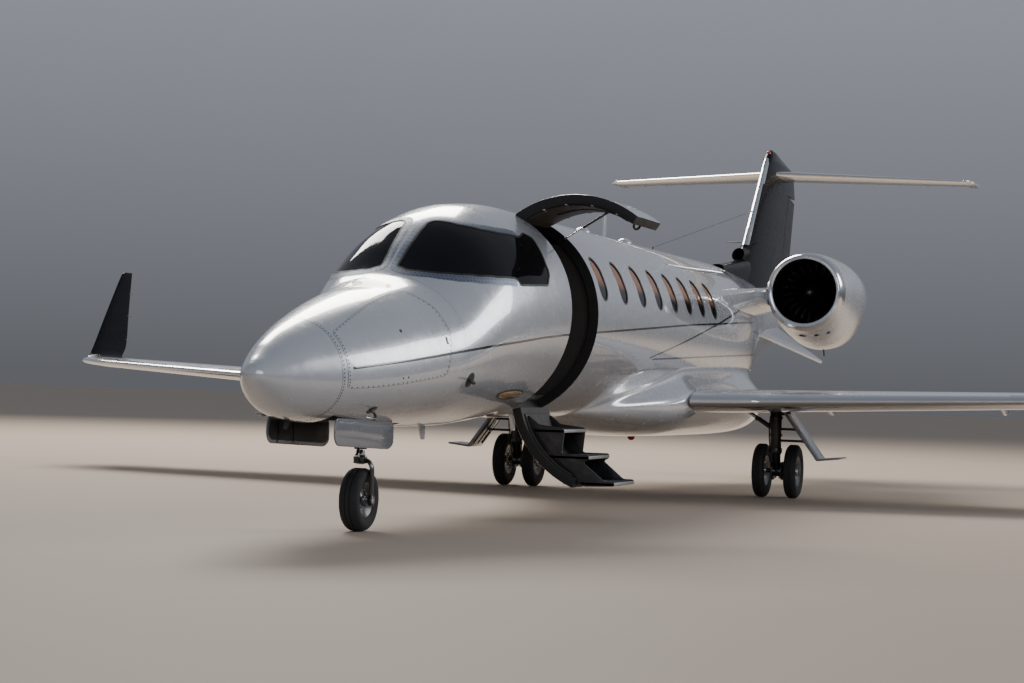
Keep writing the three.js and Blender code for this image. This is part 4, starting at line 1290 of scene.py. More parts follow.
def build_glazing():
    """Windscreen and cabin panes with their rims and fasteners."""
    for side, word in SIDES:
        outline = loop_points(PANE_OUTLINE, -1).tolist()
        pane = dish(f"windscreen_{word}", outline, PANE_MIDDLE, 4, side, 14, round_body)
        done(wear(pane, "screen_glass"), "airframe", "glazing", f"windshield_{word}")
        seal = rim(
            f"windscreen_seal_{word}", PANE_OUTLINE, [(-12, 3), (-11, -1), (5, -1.4), (6, 3)], side, round_body
        )
        soften(wear(seal, "seal_rubber"))
        done(seal, "airframe", "dark_trim")
        band = rim(
            f"windscreen_band_{word}",
            PANE_OUTLINE,
            [(6, 1), (7, -1.2), (20, -1.5), (34, -1.6), (48, -1.5), (62, -1.2), (63, 1)],
            side,
            round_body,
            BAND,
        )
        soften(wear(band, "screen_frame"))
        done(band, "airframe", "bare_metal")
        panes, rims = [], []
        for row, centre in enumerate(WINDOW_CENTRES):
            outline = window_outline(centre)
            inner = loop_points(outline, -0.6).tolist()
            panes.append(dish(f"pane_{row}", inner, (centre, WINDOW_MIDDLE), 9, side, 5))
            moulding = rim(f"rim_{row}", outline, [(-12, 9), (-11, 1.5), (-3, -0.6), (3, -0.8), (5, 1)], side)
            rims.append(moulding)
        glass = wear(join(f"cabin_panes_{word}", *panes), "cabin_glass")
        done(glass, "airframe", "glazing", f"cabin_windows_{word}")
        frame_piece = soften_all(wear(join(f"cabin_window_rims_{word}", *rims), "dark_trim"))
        done(frame_piece, "airframe", "dark_trim")
    build_screen_fasteners()


def soften_all(piece):
    soften(piece)
    return piece


def build_screen_fasteners():
    """Two rows of fasteners on the bands round the windscreen panes."""
    marks = []
    for grow in (20, 48):
        ring = [tuple(point) for point in loop_points(PANE_OUTLINE, grow)]
        open_part = [ring[i % len(ring)] for i in range(*BAND)]
        marks += [mark for mark in along_line(open_part, 40) if mark[1] < 88.5 * DEGREE]
    heads = studs("screen_fasteners", body_places(marks, onto=round_body), 8, "dark_trim", 1.8)
    done(heads, "airframe", "bare_metal")


# Doors

UPPER_TURN = (UPPER_HINGE, -UPPER_OPEN)
LOWER_TURN = (LOWER_HINGE, LOWER_OPEN)


# How far the linings stay in from the doors' edges
LINING_MARGIN = 52


def hinge_turn(angle, degrees):
    point = body_point((DOOR_FRONT + DOOR_REAR) / 2, angle)
    return Matrix.Translation(point) @ Matrix.Rotation(math.radians(degrees), 4, "Y") @ Matrix.Translation(-point)


def door_panel(name, angles, inset, margin=DOOR_GAP, rows=14, around=30):
    """A piece of the body's wall in the doorway, drawn with the door closed."""
    front, rear = DOOR_FRONT + margin, DOOR_REAR - margin

    def place(u, v):
        return body_point(front + (rear - front) * v, angles[0] + (angles[1] - angles[0]) * u, inset)

    return facing(sheet(name, around, rows, place), (1, 0, 0))


def build_entry_door():
    """Both halves of the entry door as they stand open, with the steps on the lower one."""
    gap = 0.42
    halves = (
        ("upper", (DOOR_SPLIT + gap, UPPER_HINGE - gap), UPPER_TURN, "upper_door", "entry_door_upper"),
        ("lower", (LOWER_HINGE + gap, DOOR_SPLIT - gap), LOWER_TURN, "lower_door", "entry_door_lower"),
    )
    for word, angles, (angle, degrees), body, node in halves:
        turn = hinge_turn(angle, degrees)
        panel = door_panel(f"door_skin_{word}", angles, 0)
        wear(panel, "body_paint", "dark_lining", "seal_rubber")
        walled(panel, WALL - 4, 1, 2)
        rounding(panel, 5, 2, 60)
        moved(panel, turn)
        faired(panel, turn)
        done(panel, body, "white_paint", node)
        inner = (angles[0] + 4, angles[1] - 4)
        pad = door_panel(f"door_lining_{word}", inner, WALL - 4, LINING_MARGIN)
        pad.data.flip_normals()
        wear(pad, "dark_lining")
        apply(pad, "SOLIDIFY", thickness=0.014, offset=1, use_even_offset=True)
        rounding(pad, 6, 3, 60)
        soften(moved(pad, turn))
        done(pad, body, "lining")
    build_steps()


TREADS = [(560, 815, 738), (640, 1030, 530), (820, 1250, 323)]
STEP_FRONT = DOOR_FRONT + 75
STEP_REAR = DOOR_REAR - 75
STRINGER = [
    (500, 850),
    (600, 775),
    (815, 752),
    (815, 712),
    (800, 545),
    (1030, 545),
    (1030, 504),
    (985, 480),
    (1160, 337),
    (1250, 337),
    (1250, 297),
    (1000, 285),
    (700, 480),
    (500, 760),
]


def build_steps():
    """Treads with grip strips between two side plates."""
    pieces = []
    for x0, x1, z in TREADS:
        tread = block("tread", (x0, x1), (STEP_FRONT, STEP_REAR), (z - 26, z), 4)
        pieces.append(wear(tread, "gear_paint"))
        count = int((x1 - max(x0, x1 - 260) - 30) / 26)
        for row in range(count):
            x = x1 - 30 - 26 * row
            strip = block("grip", (x - 8, x + 8), (STEP_FRONT + 26, STEP_REAR - 26), (z - 1, z + 3), 1.2, 1)
            pieces.append(wear(strip, "seal_rubber"))
        nosing = block("nosing", (x1 - 12, x1 + 2), (STEP_FRONT + 4, STEP_REAR - 4), (z - 24, z + 1), 3)
        pieces.append(wear(nosing, "brushed_metal"))
    for s in (STEP_FRONT, STEP_REAR - 16):
        plate = prism("side_plate", rounded(STRINGER, 18, 3), "front", s, s + 16)
        rounding(plate, 2.5, 2)
        pieces.append(wear(plate, "gear_paint"))
    steps = soften_all(join("entry_step_set", *pieces))
    done(steps, "lower_door", "bare_metal", "entry_steps")


# Wings

WING_ABOVE = 0.54
WING = [
    # x, leading edge, trailing edge, height, thickness
    (950, 7950, 10860, 985, 250),
    (1500, 8380, 10880, 1000, 228),
    (4300, 9205, 10940, 1094, 168),
    (6650, 9895, 11180, 1205, 118),
    (6950, 10080, 11225, 1222, 100),
    (7090, 10480, 11260, 1234, 78),
]
WING_TIP = 6988
WINGLET = [
    # x, height, lean from level in degrees, leading edge, trailing edge, thickness
    (6990, 1225, 0, 10192, 11234, 92),
    (7060, 1236, 20, 10420, 11265, 82),
    (7115, 1262, 45, 10540, 11330, 72),
    (7150, 1310, 70, 10610, 11400, 64),
    (7172, 1420, 84, 10730, 11520, 55),
    (7225, 1900, 86, 11150, 11660, 38),
    (7268, 2330, 88, 11545, 11785, 21),
    (7270, 2345, 88, 11600, 11790, 7),
]
FLAP = {"inner": 1010, "outer": 4480, "chord": 430, "drop": 120, "brackets": (1900, 3700)}
AILERON = {"inner": 4520, "outer": 6560, "chord": 300}
LEADING_EDGE = 105


def fullness(share):
    """Half thickness of a wing section at a share of its chord, for a full thickness of one."""
    t = max(0.0, min(1.0, share))
    shape = 0.2969 * math.sqrt(t) - 0.126 * t - 0.3516 * t**2 + 0.2843 * t**3 - 0.1015 * t**4
    return 5 * shape - 0.0105 * t


def foil(name, rows, place, above=0.5, around=56, along=24, curve=None):
    """A wing-like solid. Each row's first column runs along it, and its last three or more give the leading
    edge, the trailing edge and, last of all, the thickness."""
    curve = curve or straight(rows)
    low, high = rows[0][0], rows[-1][0]
    marks = sorted({(row[0] - low) / (high - low) for row in rows} | {i / along for i in range(along + 1)})
    marks = [m for i, m in enumerate(marks) if i == 0 or m - marks[i - 1] > 0.004 or m == 1]

    def spot(u, v):
        value = low + (high - low) * marks[round(v * (len(marks) - 1))]
        front, rear, *rest, thick = curve(value)
        turn = 2 * math.pi * u
        share = (1 + math.cos(turn)) / 2
        side = 0 if u in (0, 0.5, 1) else 1 if u < 0.5 else -1
        offset = side * fullness(share) * thick * 2 * (above if side > 0 else 1 - above)
        return place(value, front + share * (rear - front), offset, rest)

    return sheet(name, around, len(marks) - 1, spot, ends=True)


def part_surface(whole, name, region, nose):
    """Parts a moving surface from a wing. region and nose make its cutters, grown by a gap."""
    keeper = region(0)
    combine(keeper, nose(0), "UNION")
    moving = twin(whole, name)
    keep(moving, keeper)
    room = region(DOOR_GAP)
    combine(room, nose(DOOR_GAP), "UNION")
    cut(whole, room)
    return moving


def plan_region(inner, outer, heights, reach=900):
    """Makes the part of the plan behind a hinge line between two ends: x, station, height, radius."""
    slope = (outer[1] - inner[1]) / (outer[0] - inner[0])
    rise = (outer[2] - inner[2]) / (outer[0] - inner[0])

    def ends(grow):
        return (
            (inner[0] - grow, inner[1] - grow * slope, inner[2] - grow * rise),
            (outer[0] + grow, outer[1] + grow * slope, outer[2] + grow * rise),
        )

    def region(grow):
        (x0, s0, _), (x1, s1, _) = ends(grow)
        outline = [(x0, s0), (x1, s1), (x1, s1 + reach), (x0, s0 + reach)]
        return prism("region", outline, "plan", *heights)

    def nose(grow):
        return bar("nose", ends(grow if grow else -8), inner[3] + grow, outer[3] + grow, 28)

    return region, nose


def wing_row(x):
    return straight(WING)(x)


def flap_hinge(x):
    """A point of the flap's hinge line, under its leading edge."""
    share = (x - FLAP["inner"]) / (FLAP["outer"] - FLAP["inner"])
    near, far = [
        np.array((end, wing_row(end)[1] - FLAP["chord"], wing_row(end)[2] - FLAP["drop"]))
        for end in (FLAP["inner"], FLAP["outer"])
    ]
    return near + share * (far - near)


def fairing_pod(name, x):
    """The slim fairing under the wing round a flap's hinge."""
    _, s, z = flap_hinge(x)
    profile = [(-560, 96, 4), (-420, 30, 12), (-240, -6, 17), (-60, -26, 18), (10, -22, 15), (28, -2, 6)]
    upper = z + FLAP["drop"] - 12
    lower = smooth([(aft, drop, half) for aft, drop, half in profile])
    stations = [profile[0][0] + (profile[-1][0] - profile[0][0]) * i / 24 for i in range(25)]

    def place(u, v):
        aft = stations[round(v * 24)]
        drop, half = (float(value) for value in lower(aft))
        turn = math.pi * u
        top = upper if aft < -10 else z + 40
        return put(x - half * math.cos(turn), s + aft, top - (top - (z + drop)) * math.sin(turn) ** 0.6)

    pod = sheet(name, 16, 24, place)
    with editing(pod):
        bpy.ops.mesh.fill_holes(sides=0)
        bpy.ops.mesh.normals_make_consistent(inside=False)
    return wear(pod, "white_paint")


def edge_strip(piece, slot, front, reach=LEADING_EDGE):
    """Gives a finish to the faces close behind a leading edge. front turns a face's middle into its station."""
    assign(piece, slot, lambda middle, normal: middle.y * 1000 + MIDSHIPS < front(middle) + reach)


def build_wings():
    """Wings with their polished leading edges, ailerons, flaps, flap fairings and winglets."""
    rows = [(x, front, rear, z, thick) for x, front, rear, z, thick in WING if x < WING_TIP]
    rows.append((WING_TIP, *wing_row(WING_TIP)))

    def place(x, s, offset, rest):
        return put(x, s, rest[0] + offset)

    whole = foil("wing_skin_left", rows, place, WING_ABOVE, 72, 60)
    wear(whole, "wing_paint", "polished_metal", "dark_metal")
    edge_strip(whole, 1, lambda middle: wing_row(max(960, middle.x * 1000))[0])
    ends = []
    for x in (AILERON["inner"], AILERON["outer"]):
        front, rear, z, thick = wing_row(x)
        half = fullness(1 - AILERON["chord"] / (rear - front)) * thick
        ends.append((x, rear - AILERON["chord"], z + half * (2 * WING_ABOVE - 1), half))
    aileron = part_surface(whole, "aileron_skin_left", *plan_region(*ends, (900, 1500)))
    flap_ends = [(x, wing_row(x)[1] - FLAP["chord"]) for x in (FLAP["inner"], FLAP["outer"])]

    def flap_region(grow):
        (x0, s0), (x1, s1) = flap_ends
        outline = [(x0 - grow, s0 - grow), (x1 + grow, s1 - grow), (x1 + grow, 11400), (x0 - grow, 11400)]
        return prism("flap_region", outline, "plan", 800, 1500)

    flap = twin(whole, "flap_skin_left")
    keep(flap, flap_region(0))
    cut(whole, flap_region(DOOR_GAP + 2))
    cut(whole, wear(block("leg_bay", (1040, 1610), (9560, 10040), (700, 960)), "dark_metal"))
    pods = [fairing_pod(f"pod_{x}", x) for x in FLAP["brackets"]]
    horns = []
    for x in FLAP["brackets"]:
        _, s, z = flap_hinge(x)
        outline = [(-16, -16), (40, -16), (190, 90), (190, 118), (4, 118)]
        placed = rounded([(s + a, z + b) for a, b in outline], 14, 3)
        horns.append(wear(prism("horn", placed, "side", x + 20, x + 30), "brushed_metal"))
    wing = join("wing_skin_left", whole, *pods)
    flap = join("flap_skin_left", flap, *horns)
    for piece in (wing, aileron, flap):
        soften(piece)
    done(mirrored(wing, "wing_skin_right"), "airframe", "white_paint", "wing_right")
    done(mirrored(aileron, "aileron_skin_right"), "aileron_right", "white_paint", "aileron_right")
    done(mirrored(flap, "flap_skin_right"), "flap_right", "white_paint", "flap_right")
    done(wing, "airframe", "white_paint", "wing_left")
    done(aileron, "aileron_left", "white_paint", "aileron_left")
    done(flap, "flap_left", "white_paint", "flap_left")
    build_winglets()


def build_winglets():
    """The wing tips turned up into winglets in one smooth sweep."""
    numbered = [(row, *values) for row, values in enumerate(WINGLET)]
    curve = smooth(numbered)
    count = 40

    def place(u, v):
        x, z, lean, front, rear, thick = (float(value) for value in curve(v * (len(WINGLET) - 1)))
        turn = 2 * math.pi * u
        share = (1 + math.cos(turn)) / 2
        side = 0 if u in (0, 0.5, 1) else 1 if u < 0.5 else -1
        offset = side * fullness(share) * thick
        tilt = math.radians(lean)
        return put(x - math.sin(tilt) * offset, front + share * (rear - front), z + math.cos(tilt) * offset)

    winglet = sheet("winglet_skin_left", 56, count, place, ends=True)
    wear(winglet, "black_paint")
    lamp = wear(lens("lamp", (7118, 10560, 1262), (30, 60, 16), 40), "lamp_red")
    soften(winglet)
    soften(lamp)
    done(mirrored(winglet, "winglet_skin_right"), "airframe", "black_paint", "winglet_right")
    starboard = wear(mirrored(lamp, "position_lamp_right"), "lamp_green")
    done(starboard, "airframe", "glazing")
    done(winglet, "airframe", "black_paint", "winglet_left")
    lamp.name = "position_lamp_left"
    done(lamp, "airframe", "glazing")


def lens(name, centre, sizes, lean=0):
    """A teardrop lamp cover."""
    middle = put(*centre)

    def place(u, v):
        turn, rise = 2 * math.pi * u, math.pi * v
        taper = 1 - 0.35 * max(0.0, math.cos(turn)) * math.sin(rise)
        along = Vector((math.sin(rise) * math.sin(turn) * taper, math.sin(rise) * math.cos(turn), math.cos(rise)))
        along = Vector(a * b / 1000 for a, b in zip(along, sizes))
        return middle + Matrix.Rotation(math.radians(-lean), 3, "Y") @ along

    return sheet(name, 24, 12, place)


# Belly fairing: station, half width, bottom, height of the wing joint, height where it runs into the body
FAIRING = [
    (6250, 250, 832, 870, 960),
    (6650, 520, 782, 900, 1020),
    (7100, 730, 712, 930, 1100),
    (7700, 890, 644, 960, 1220),
    (8300, 949.5, 612, 1000, 1340),
    (10900, 949.5, 600, 1040, 1390),
    (11600, 870, 602, 1020, 1370),
    (12500, 620, 625, 960, 1290),
    (13250, 400, 720, 930, 1290),
    (13750, 230, 960, 1060, 1330),
    (14300, 60, 1352, 1370, 1420),
]
FAIRING_FULLNESS = 0.76


def build_fairing():
    """The smooth belly fairing that carries the wing roots."""
    curve = smooth(FAIRING)
    low, high = FAIRING[0][0], FAIRING[-1][0]
    arc = [i / 22 for i in range(23)]

    def section_points(station):
        half, bottom, joint, top = (float(value) for value in curve(station))
        lower = []
        for share in arc:
            turn = math.pi / 2 * share
            x = half * math.sin(turn) ** FAIRING_FULLNESS
            lower.append((x, joint - (joint - bottom) * math.cos(turn) ** FAIRING_FULLNESS))
        end = np.array([body_x(station, top) - 3, top])
        lean = (body_x(station, top + 5) - body_x(station, top - 5)) / 10
        rise = 0.45 * (top - joint)
        knots = [np.array([half, joint]), np.array([half, joint + rise]), end - rise * np.array([lean, 1]), end]
        upper = []
        for t in arc[1:]:
            weights = ((1 - t) ** 3, 3 * t * (1 - t) ** 2, 3 * t * t * (1 - t), t**3)
            upper.append(tuple(float(value) for value in sum(w * knot for w, knot in zip(weights, knots))))
        right = lower + upper
        return right + [(-x, z) for x, z in reversed(right[1:])]

    count = len(section_points(low))

    def place(u, v):
        station = low + (high - low) * v
        x, z = section_points(station)[round(u * count) % count]
        return put(x, station, z)

    fairing = sheet("fairing_skin", count, 90, place, ends=True)
    wear(fairing, "white_paint")
    form = tube_skin("body_form", 5900, 14600, 60, 112, ends=True)
    cut(fairing, form)
    soften(fairing, math.radians(60))
    done(fairing, "airframe", "white_paint", "wing_fairing")


# Tail

FIN = [
    # height, leading edge, trailing edge, thickness
    (2330, 13830, 17090, 300),
    (3000, 14430, 17290, 250),
    (3820, 15190, 17540, 190),
    (4050, 15400, 17450, 176),
    (4180, 15540, 17310, 150),
    (4310, 15860, 16260, 60),
]
RUDDER = {"low": 2520, "high": 3800, "hinge_low": 16270, "hinge_high": 16820, "short": 15, "fall": 0.045}
STABILIZER_Z = 4010
STABILIZER = [
    # x, leading edge, trailing edge, thickness
    (0, 15770, 17020, 112),
    (2440, 16905, 17640, 62),
    (2540, 17060, 17680, 34),
]
ELEVATOR = {"inner": 170, "outer": 2380, "hinge_inner": 16690, "hinge_outer": 17445}
DORSAL = [
    # station, half width, top
    (12940, 90, 2625),
    (13300, 96, 2660),
    (14120, 104, 2750),
    (15000, 90, 2850),
]


def stabilizer_form(name, swell=1.0):
    """The whole tailplane, or a thicker copy of it as a cutter."""
    rows = [(-x, *rest) for x, *rest in reversed(STABILIZER[1:])] + list(STABILIZER)

    def place(x, s, offset, rest):
        return put(x, s, STABILIZER_Z + offset * swell)

    return foil(name, rows, place, 0.5, 56, 60)


def build_fin():
    """Fin, dorsal fillet and rudder, black with a polished leading edge."""

    def place(z, s, offset, rest):
        return put(offset, s, z)

    fin = foil("fin_skin", FIN, place, 0.5, 64, 50)
    wear(fin, "black_paint", "polished_metal", "dark_metal")
    edge = straight(FIN)
    edge_strip(fin, 1, lambda middle: edge(middle.z * 1000)[0], 70)
    assign(fin, 0, lambda middle, normal: middle.z < 2.98)
    dorsal_curve = smooth(DORSAL)

    def ridge(u, v):
        station = DORSAL[0][0] + (DORSAL[-1][0] - DORSAL[0][0]) * v
        half, top = (float(value) for value in dorsal_curve(station))
        turn = math.pi * u
        x = half * math.copysign(abs(math.cos(turn)) ** 0.8, math.cos(turn))
        return put(x, station, 2400 + (top - 2400) * math.sin(turn) ** 0.25)

    dorsal = sheet("dorsal", 28, 30, ridge)
    with editing(dorsal):
        bpy.ops.mesh.fill_holes(sides=0)
        bpy.ops.mesh.normals_make_consistent(inside=False)
    wear(dorsal, "black_paint")

    def hinge(z, s):
        front, rear, thick = edge(z)
        return (0, s, z, fullness((s - front) / (rear - front)) * thick)

    low = hinge(RUDDER["low"], RUDDER["hinge_low"])
    high = hinge(RUDDER["high"], RUDDER["hinge_high"])
    lean = (high[1] - low[1]) / (high[2] - low[2])

    def region(grow):
        side, fall = (grow, 0) if grow else (-RUDDER["short"], RUDDER["fall"])
        outline = [
            (low[1] - lean * side, low[2] - side),
            (high[1] + lean * side, high[2] + side),
            (high[1] + 1200, high[2] + side - 1200 * fall),
            (low[1] + 1500, low[2] - side),
        ]
        return prism("region", outline, "side", -400, 400)

    def nose(grow):
        reach = grow if grow else -8
        ends = ((0.4, low[1] + 1 - lean * reach, low[2] - reach), (0.4, high[1] + 1 + lean * reach, high[2] + reach))
        return bar("nose", ends, low[3] + grow, high[3] + grow, 28)

    rudder = part_surface(fin, "rudder_skin", region, nose)
    cut(fin, wear(stabilizer_form("slot", 1.06), "seal_rubber"))
    fin = join("fin_skin", fin, dorsal)
    soften(fin)
    soften(rudder)
    done(fin, "airframe", "black_paint", "fin")
    done(rudder, "rudder", "black_paint", "rudder")


def build_stabilizer():
    """The tailplane on the fin, with its elevators and tip caps."""
    plane = stabilizer_form("stabilizer_skin")
    wear(plane, "white_paint", "polished_metal")
    edge = straight(STABILIZER)
    edge_strip(plane, 1, lambda middle: edge(abs(middle.x) * 1000)[0], 60)
    ends = []
    for x, s in ((ELEVATOR["inner"], ELEVATOR["hinge_inner"]), (ELEVATOR["outer"], ELEVATOR["hinge_outer"])):
        front, rear, thick = edge(x)
        ends.append((x, s, STABILIZER_Z, fullness((s - front) / (rear - front)) * thick))
    starboard = [(-x, s, z, radius) for x, s, z, radius in ends]
    heights = (STABILIZER_Z - 110, STABILIZER_Z + 110)
    left = part_surface(plane, "elevator_skin_left", *plan_region(*ends, heights))
    mirror_ends = [starboard[1], starboard[0]]
    right = part_surface(plane, "elevator_skin_right", *plan_region(*mirror_ends, heights))
    caps = []
    for side in (1, -1):
        outline = [(2405, 16905), (2470, 16950), (2530, 17110), (2540, 17660), (2405, 17640)]
        cap = prism("cap", rounded([(side * x, s) for x, s in outline], 30, 4), "plan", 3994, 4036)
        rounding(cap, 9, 3)
        caps.append(wear(cap, "white_paint"))
    plane = join("stabilizer_skin", plane, *caps)
    for piece in (plane, left, right):
        soften(piece)
    done(plane, "airframe", "white_paint", "stabilizer")
    done(left, "elevator_left", "white_paint", "elevator_left")
    done(right, "elevator_right", "white_paint", "elevator_right")


# Delta fins under the tail
DELTA = {
    "front": 13400,
    "rear": 16250,
    "span": 780,
    "tip": 180,
    "root": 110,
    "depth": 30,
    "droop": 0.62,
    "toe_in": 0.13,
    "rise": 0.06,
    "foot": (420, 1806),
}


def build_delta_fins():
    """Two thin fins that slope down and out from the tail."""
    length = DELTA["rear"] - DELTA["front"]
    outline = [(0, 0), (length - DELTA["tip"], DELTA["span"]), (length, DELTA["span"])]
    outline += [(length, -DELTA["root"]), (0, -DELTA["root"])]
    foot_x, foot_z = DELTA["foot"]
    droop, toe_in, rise = DELTA["droop"], DELTA["toe_in"], DELTA["rise"]

    def place(aft, out, off):
        x = math.cos(droop) * out - math.sin(droop) * off
        z = -math.sin(droop) * out - math.cos(droop) * off
        x, y = x * math.cos(toe_in) - aft * math.sin(toe_in), x * math.sin(toe_in) + aft * math.cos(toe_in)
        y, z = y * math.cos(rise) - z * math.sin(rise), y * math.sin(rise) + z * math.cos(rise)
        return put(foot_x + x, DELTA["front"] + y, foot_z + z)

    VIEWS["delta"] = place
    fin = prism("delta_fin_skin_left", rounded(outline, 14, 3), "delta", -DELTA["depth"] / 2, DELTA["depth"] / 2)
    rounding(fin, 11, 3)
    cut(fin, tube_skin("body_form", 12800, 16690, 40, 96, ends=True))
    wear(fin, "white_paint")
    soften(fin)
    done(mirrored(fin, "delta_fin_skin_right"), "airframe", "white_paint", "delta_fin_right")
    done(fin, "airframe", "white_paint", "delta_fin_left")


# Engines

ENGINE = (1392, 2235)
INLET = 11260
NACELLE = [
    # distance aft of the inlet, half width, rise above and drop below the engine's axis
    (60, 427, 423, 442),
    (160, 442, 434, 470),
    (500, 472, 446, 560),
    (1000, 484, 440, 628),
    (1500, 446, 408, 612),
    (1950, 376, 362, 510),
    (2300, 310, 310, 350),
    (2650, 256, 256, 272),
    (2860, 224, 224, 230),
]
LIP = [(60, 346), (30, 350), (10, 362), (2, 376), (0, 388), (6, 401), (25, 415)]
DUCT = [(300, 340), (520, 346), (700, 368), (1900, 322), (2300, 274), (2860, 212)]
OUTLET = 2860
PYLON = [
    # x, leading edge, trailing edge, height, thickness
    (300, 9775, 14375, 2085, 280),
    (900, 10900, 14000, 2160, 250),
    (1150, 11420, 13800, 2190, 230),
]


def nacelle_profile():
    """The nacelle's closed lengthwise profile: distance aft, half width, rise and drop."""
    outer = smooth(NACELLE)
    stations = [60 + (OUTLET - 60) * (i / 34) ** 1.2 for i in range(35)]
    outside = [(s, *(float(value) for value in outer(s))) for s in stations]
    inner = smooth(DUCT)
    inside = []
    for i in range(28):
        s = OUTLET - (OUTLET - 300) * i / 27
        inside.append((s, *[float(inner(s)[0])] * 3))
    lip = [(s, r, r, r) for s, r in LIP[:-1]]
    foot = [(25, 415, 413, 419)]
    return outside + inside + [(180, 341, 341, 341)] + lip + foot


def build_nacelles():
    """Engine cowlings with polished lips, ducts kept near black as painted shade, and stained outlets."""
    profile = nacelle_profile()

    def place(u, v):
        s, half, up, down = profile[round(v * len(profile)) % len(profile)]
        turn = 2 * math.pi * u
        rise = up if math.sin(turn) >= 0 else down
        return put(ENGINE[0] + math.cos(turn) * half, INLET + s, ENGINE[1] + math.sin(turn) * rise)

    cowl = sheet("nacelle_skin_left", 96, len(profile), place)
    wear(cowl, "cowl_paint", "polished_metal", "duct_metal", "burnt_metal")

    def turned(middle):
        x, z = middle.x * 1000 - ENGINE[0], middle.z * 1000 - ENGINE[1]
        return math.hypot(x, z)

    def inner(middle, normal):
        x, z = middle.x * 1000 - ENGINE[0], middle.z * 1000 - ENGINE[1]
        return x * normal.x + z * normal.z < 0

    aft = lambda middle: middle.y * 1000 + MIDSHIPS - INLET
    # The inside of the duct takes the near-black metal: painted shade.
    assign(cowl, 2, lambda middle, normal: inner(middle, normal) and aft(middle) > 60)
    assign(cowl, 1, lambda middle, normal: aft(middle) < (130 if not inner(middle, normal) else 60))
    assign(cowl, 3, lambda middle, normal: aft(middle) > 2720 or (inner(middle, normal) and aft(middle) > 1900))
    soften(cowl)
    done(mirrored(cowl, "nacelle_skin_right"), "airframe", "white_paint", "nacelle_right")
    done(cowl, "airframe", "white_paint", "nacelle_left")
    rivets = []
    for aft_of, count in ((132, 64), (146, 64)):
        half, up, down = (float(value) for value in smooth(NACELLE)(aft_of))
        for i in range(count):
            turn = 2 * math.pi * i / count
            rise = up if math.sin(turn) >= 0 else down
            point = put(ENGINE[0] + math.cos(turn) * half, INLET + aft_of, ENGINE[1] + math.sin(turn) * rise)
            rivets.append((point, Vector((math.cos(turn), 0, math.sin(turn)))))
    heads = studs("nacelle_rivets_left", rivets, 5, "dark_metal", 1)
    done(mirrored(heads, "nacelle_rivets_right"), "airframe", "bare_metal")
    done(heads, "airframe", "bare_metal")


def build_engines():
    """Engine cores with guide vanes, outlet cone and inlet fans."""
    centre = (ENGINE[0], INLET, ENGINE[1])
    outline = [(120, 800), (326, 760), (330, 780), (252, 1940), (206, 2300), (200, 2300), (190, 2180)]
    outline += [(150, 2160), (132, 2300), (70, 2560), (20, 2700), (0, 2710)]
    core = wear(lathe("engine_core_left", outline, centre, (0, 1, 0), 56), "dark_metal")
    cone = lambda middle, normal: middle.y * 1000 + MIDSHIPS > INLET + 2100
    core.data.materials.append(finish("burnt_metal"))
    assign(core, 1, cone)
    vanes = []
    for i in range(18):
        vane = block("vane", (-3, 3), (INLET + 720, INLET + 860), (ENGINE[1] + 110, ENGINE[1] + 362), 2, 1)
        moved(vane, Matrix.Translation(put(ENGINE[0], MIDSHIPS, 0)))
        moved(vane, about((ENGINE[0], MIDSHIPS, ENGINE[1]), (0, 1, 0), 20 * i))
        vanes.append(wear(vane, "dark_metal"))
    core = join("engine_core_left", core, *vanes)
    soften(core)
    done(mirrored(core, "engine_core_right"), "airframe", "bare_metal", "engine_right")
    done(core, "airframe", "bare_metal", "engine_left")
    fan = build_fan()
    done(mirrored(fan, "fan_rotor_right"), "fan_right", "bare_metal", "fan_right")
    done(fan, "fan_left", "bare_metal", "fan_left")


def build_fan():
    """A spinner and twisted blades."""
    station = INLET + 520
    profile = [(0, -230), (22, -222), (48, -190), (78, -120), (98, -50), (105, 0), (105, 90), (60, 92), (60, 230)]
    profile.append((0, 230))
    spinner = lathe("spinner", profile, (ENGINE[0], station, ENGINE[1]), (0, 1, 0), 40)
    wear(spinner, "dark_metal")

    def blade(u, v):
        radius = 98 + (338 - 98) * v
        pitch = 0.5 + 0.62 * v
        turn = 2 * math.pi * u
        chord = 62 + 18 * v
        along, off = math.cos(turn) * chord / 2, math.sin(turn) * (6 - 3.5 * v)
        bow = (math.cos(turn) ** 2 - 0.5) * 10
        x = math.sin(pitch) * along + math.cos(pitch) * (off + bow)
        y = math.cos(pitch) * along - math.sin(pitch) * (off + bow)
        return put(ENGINE[0] + x, station + 45 + y, ENGINE[1] + radius)

    first = wear(sheet("blade", 16, 8, blade, ends=True), "fan_metal")
    blades = [spinner]
    for i in range(22):
        copy = twin(first, "blade_copy")
        blades.append(moved(copy, about((ENGINE[0], MIDSHIPS, ENGINE[1]), (0, 1, 0), 360 / 22 * i)))
    bpy.data.objects.remove(first)
    fan = join("fan_rotor_left", *blades)
    soften(fan)
    return fan


def build_pylons():
    """The engine pylons, from just inside the body's skin to just inside the cowling."""
    curve = straight(PYLON)

    def place(x, s, offset, rest):
        z = rest[0] + offset
        if x < 900:
            root = body_x(min(s, BODY_END - 10), z) - 22
            x = root + (900 - root) * (x - PYLON[0][0]) / (900 - PYLON[0][0])
        return put(x, s, z)

    pylon = foil("pylon_skin_left", [*PYLON[:-1], (980, *curve(980))], place, 0.5, 64, 14)
    wear(pylon, "white_paint")
    soften(pylon)
    done(mirrored(pylon, "pylon_skin_right"), "airframe", "white_paint", "pylon_right")
    done(pylon, "airframe", "white_paint", "pylon_left")


# Landing gear

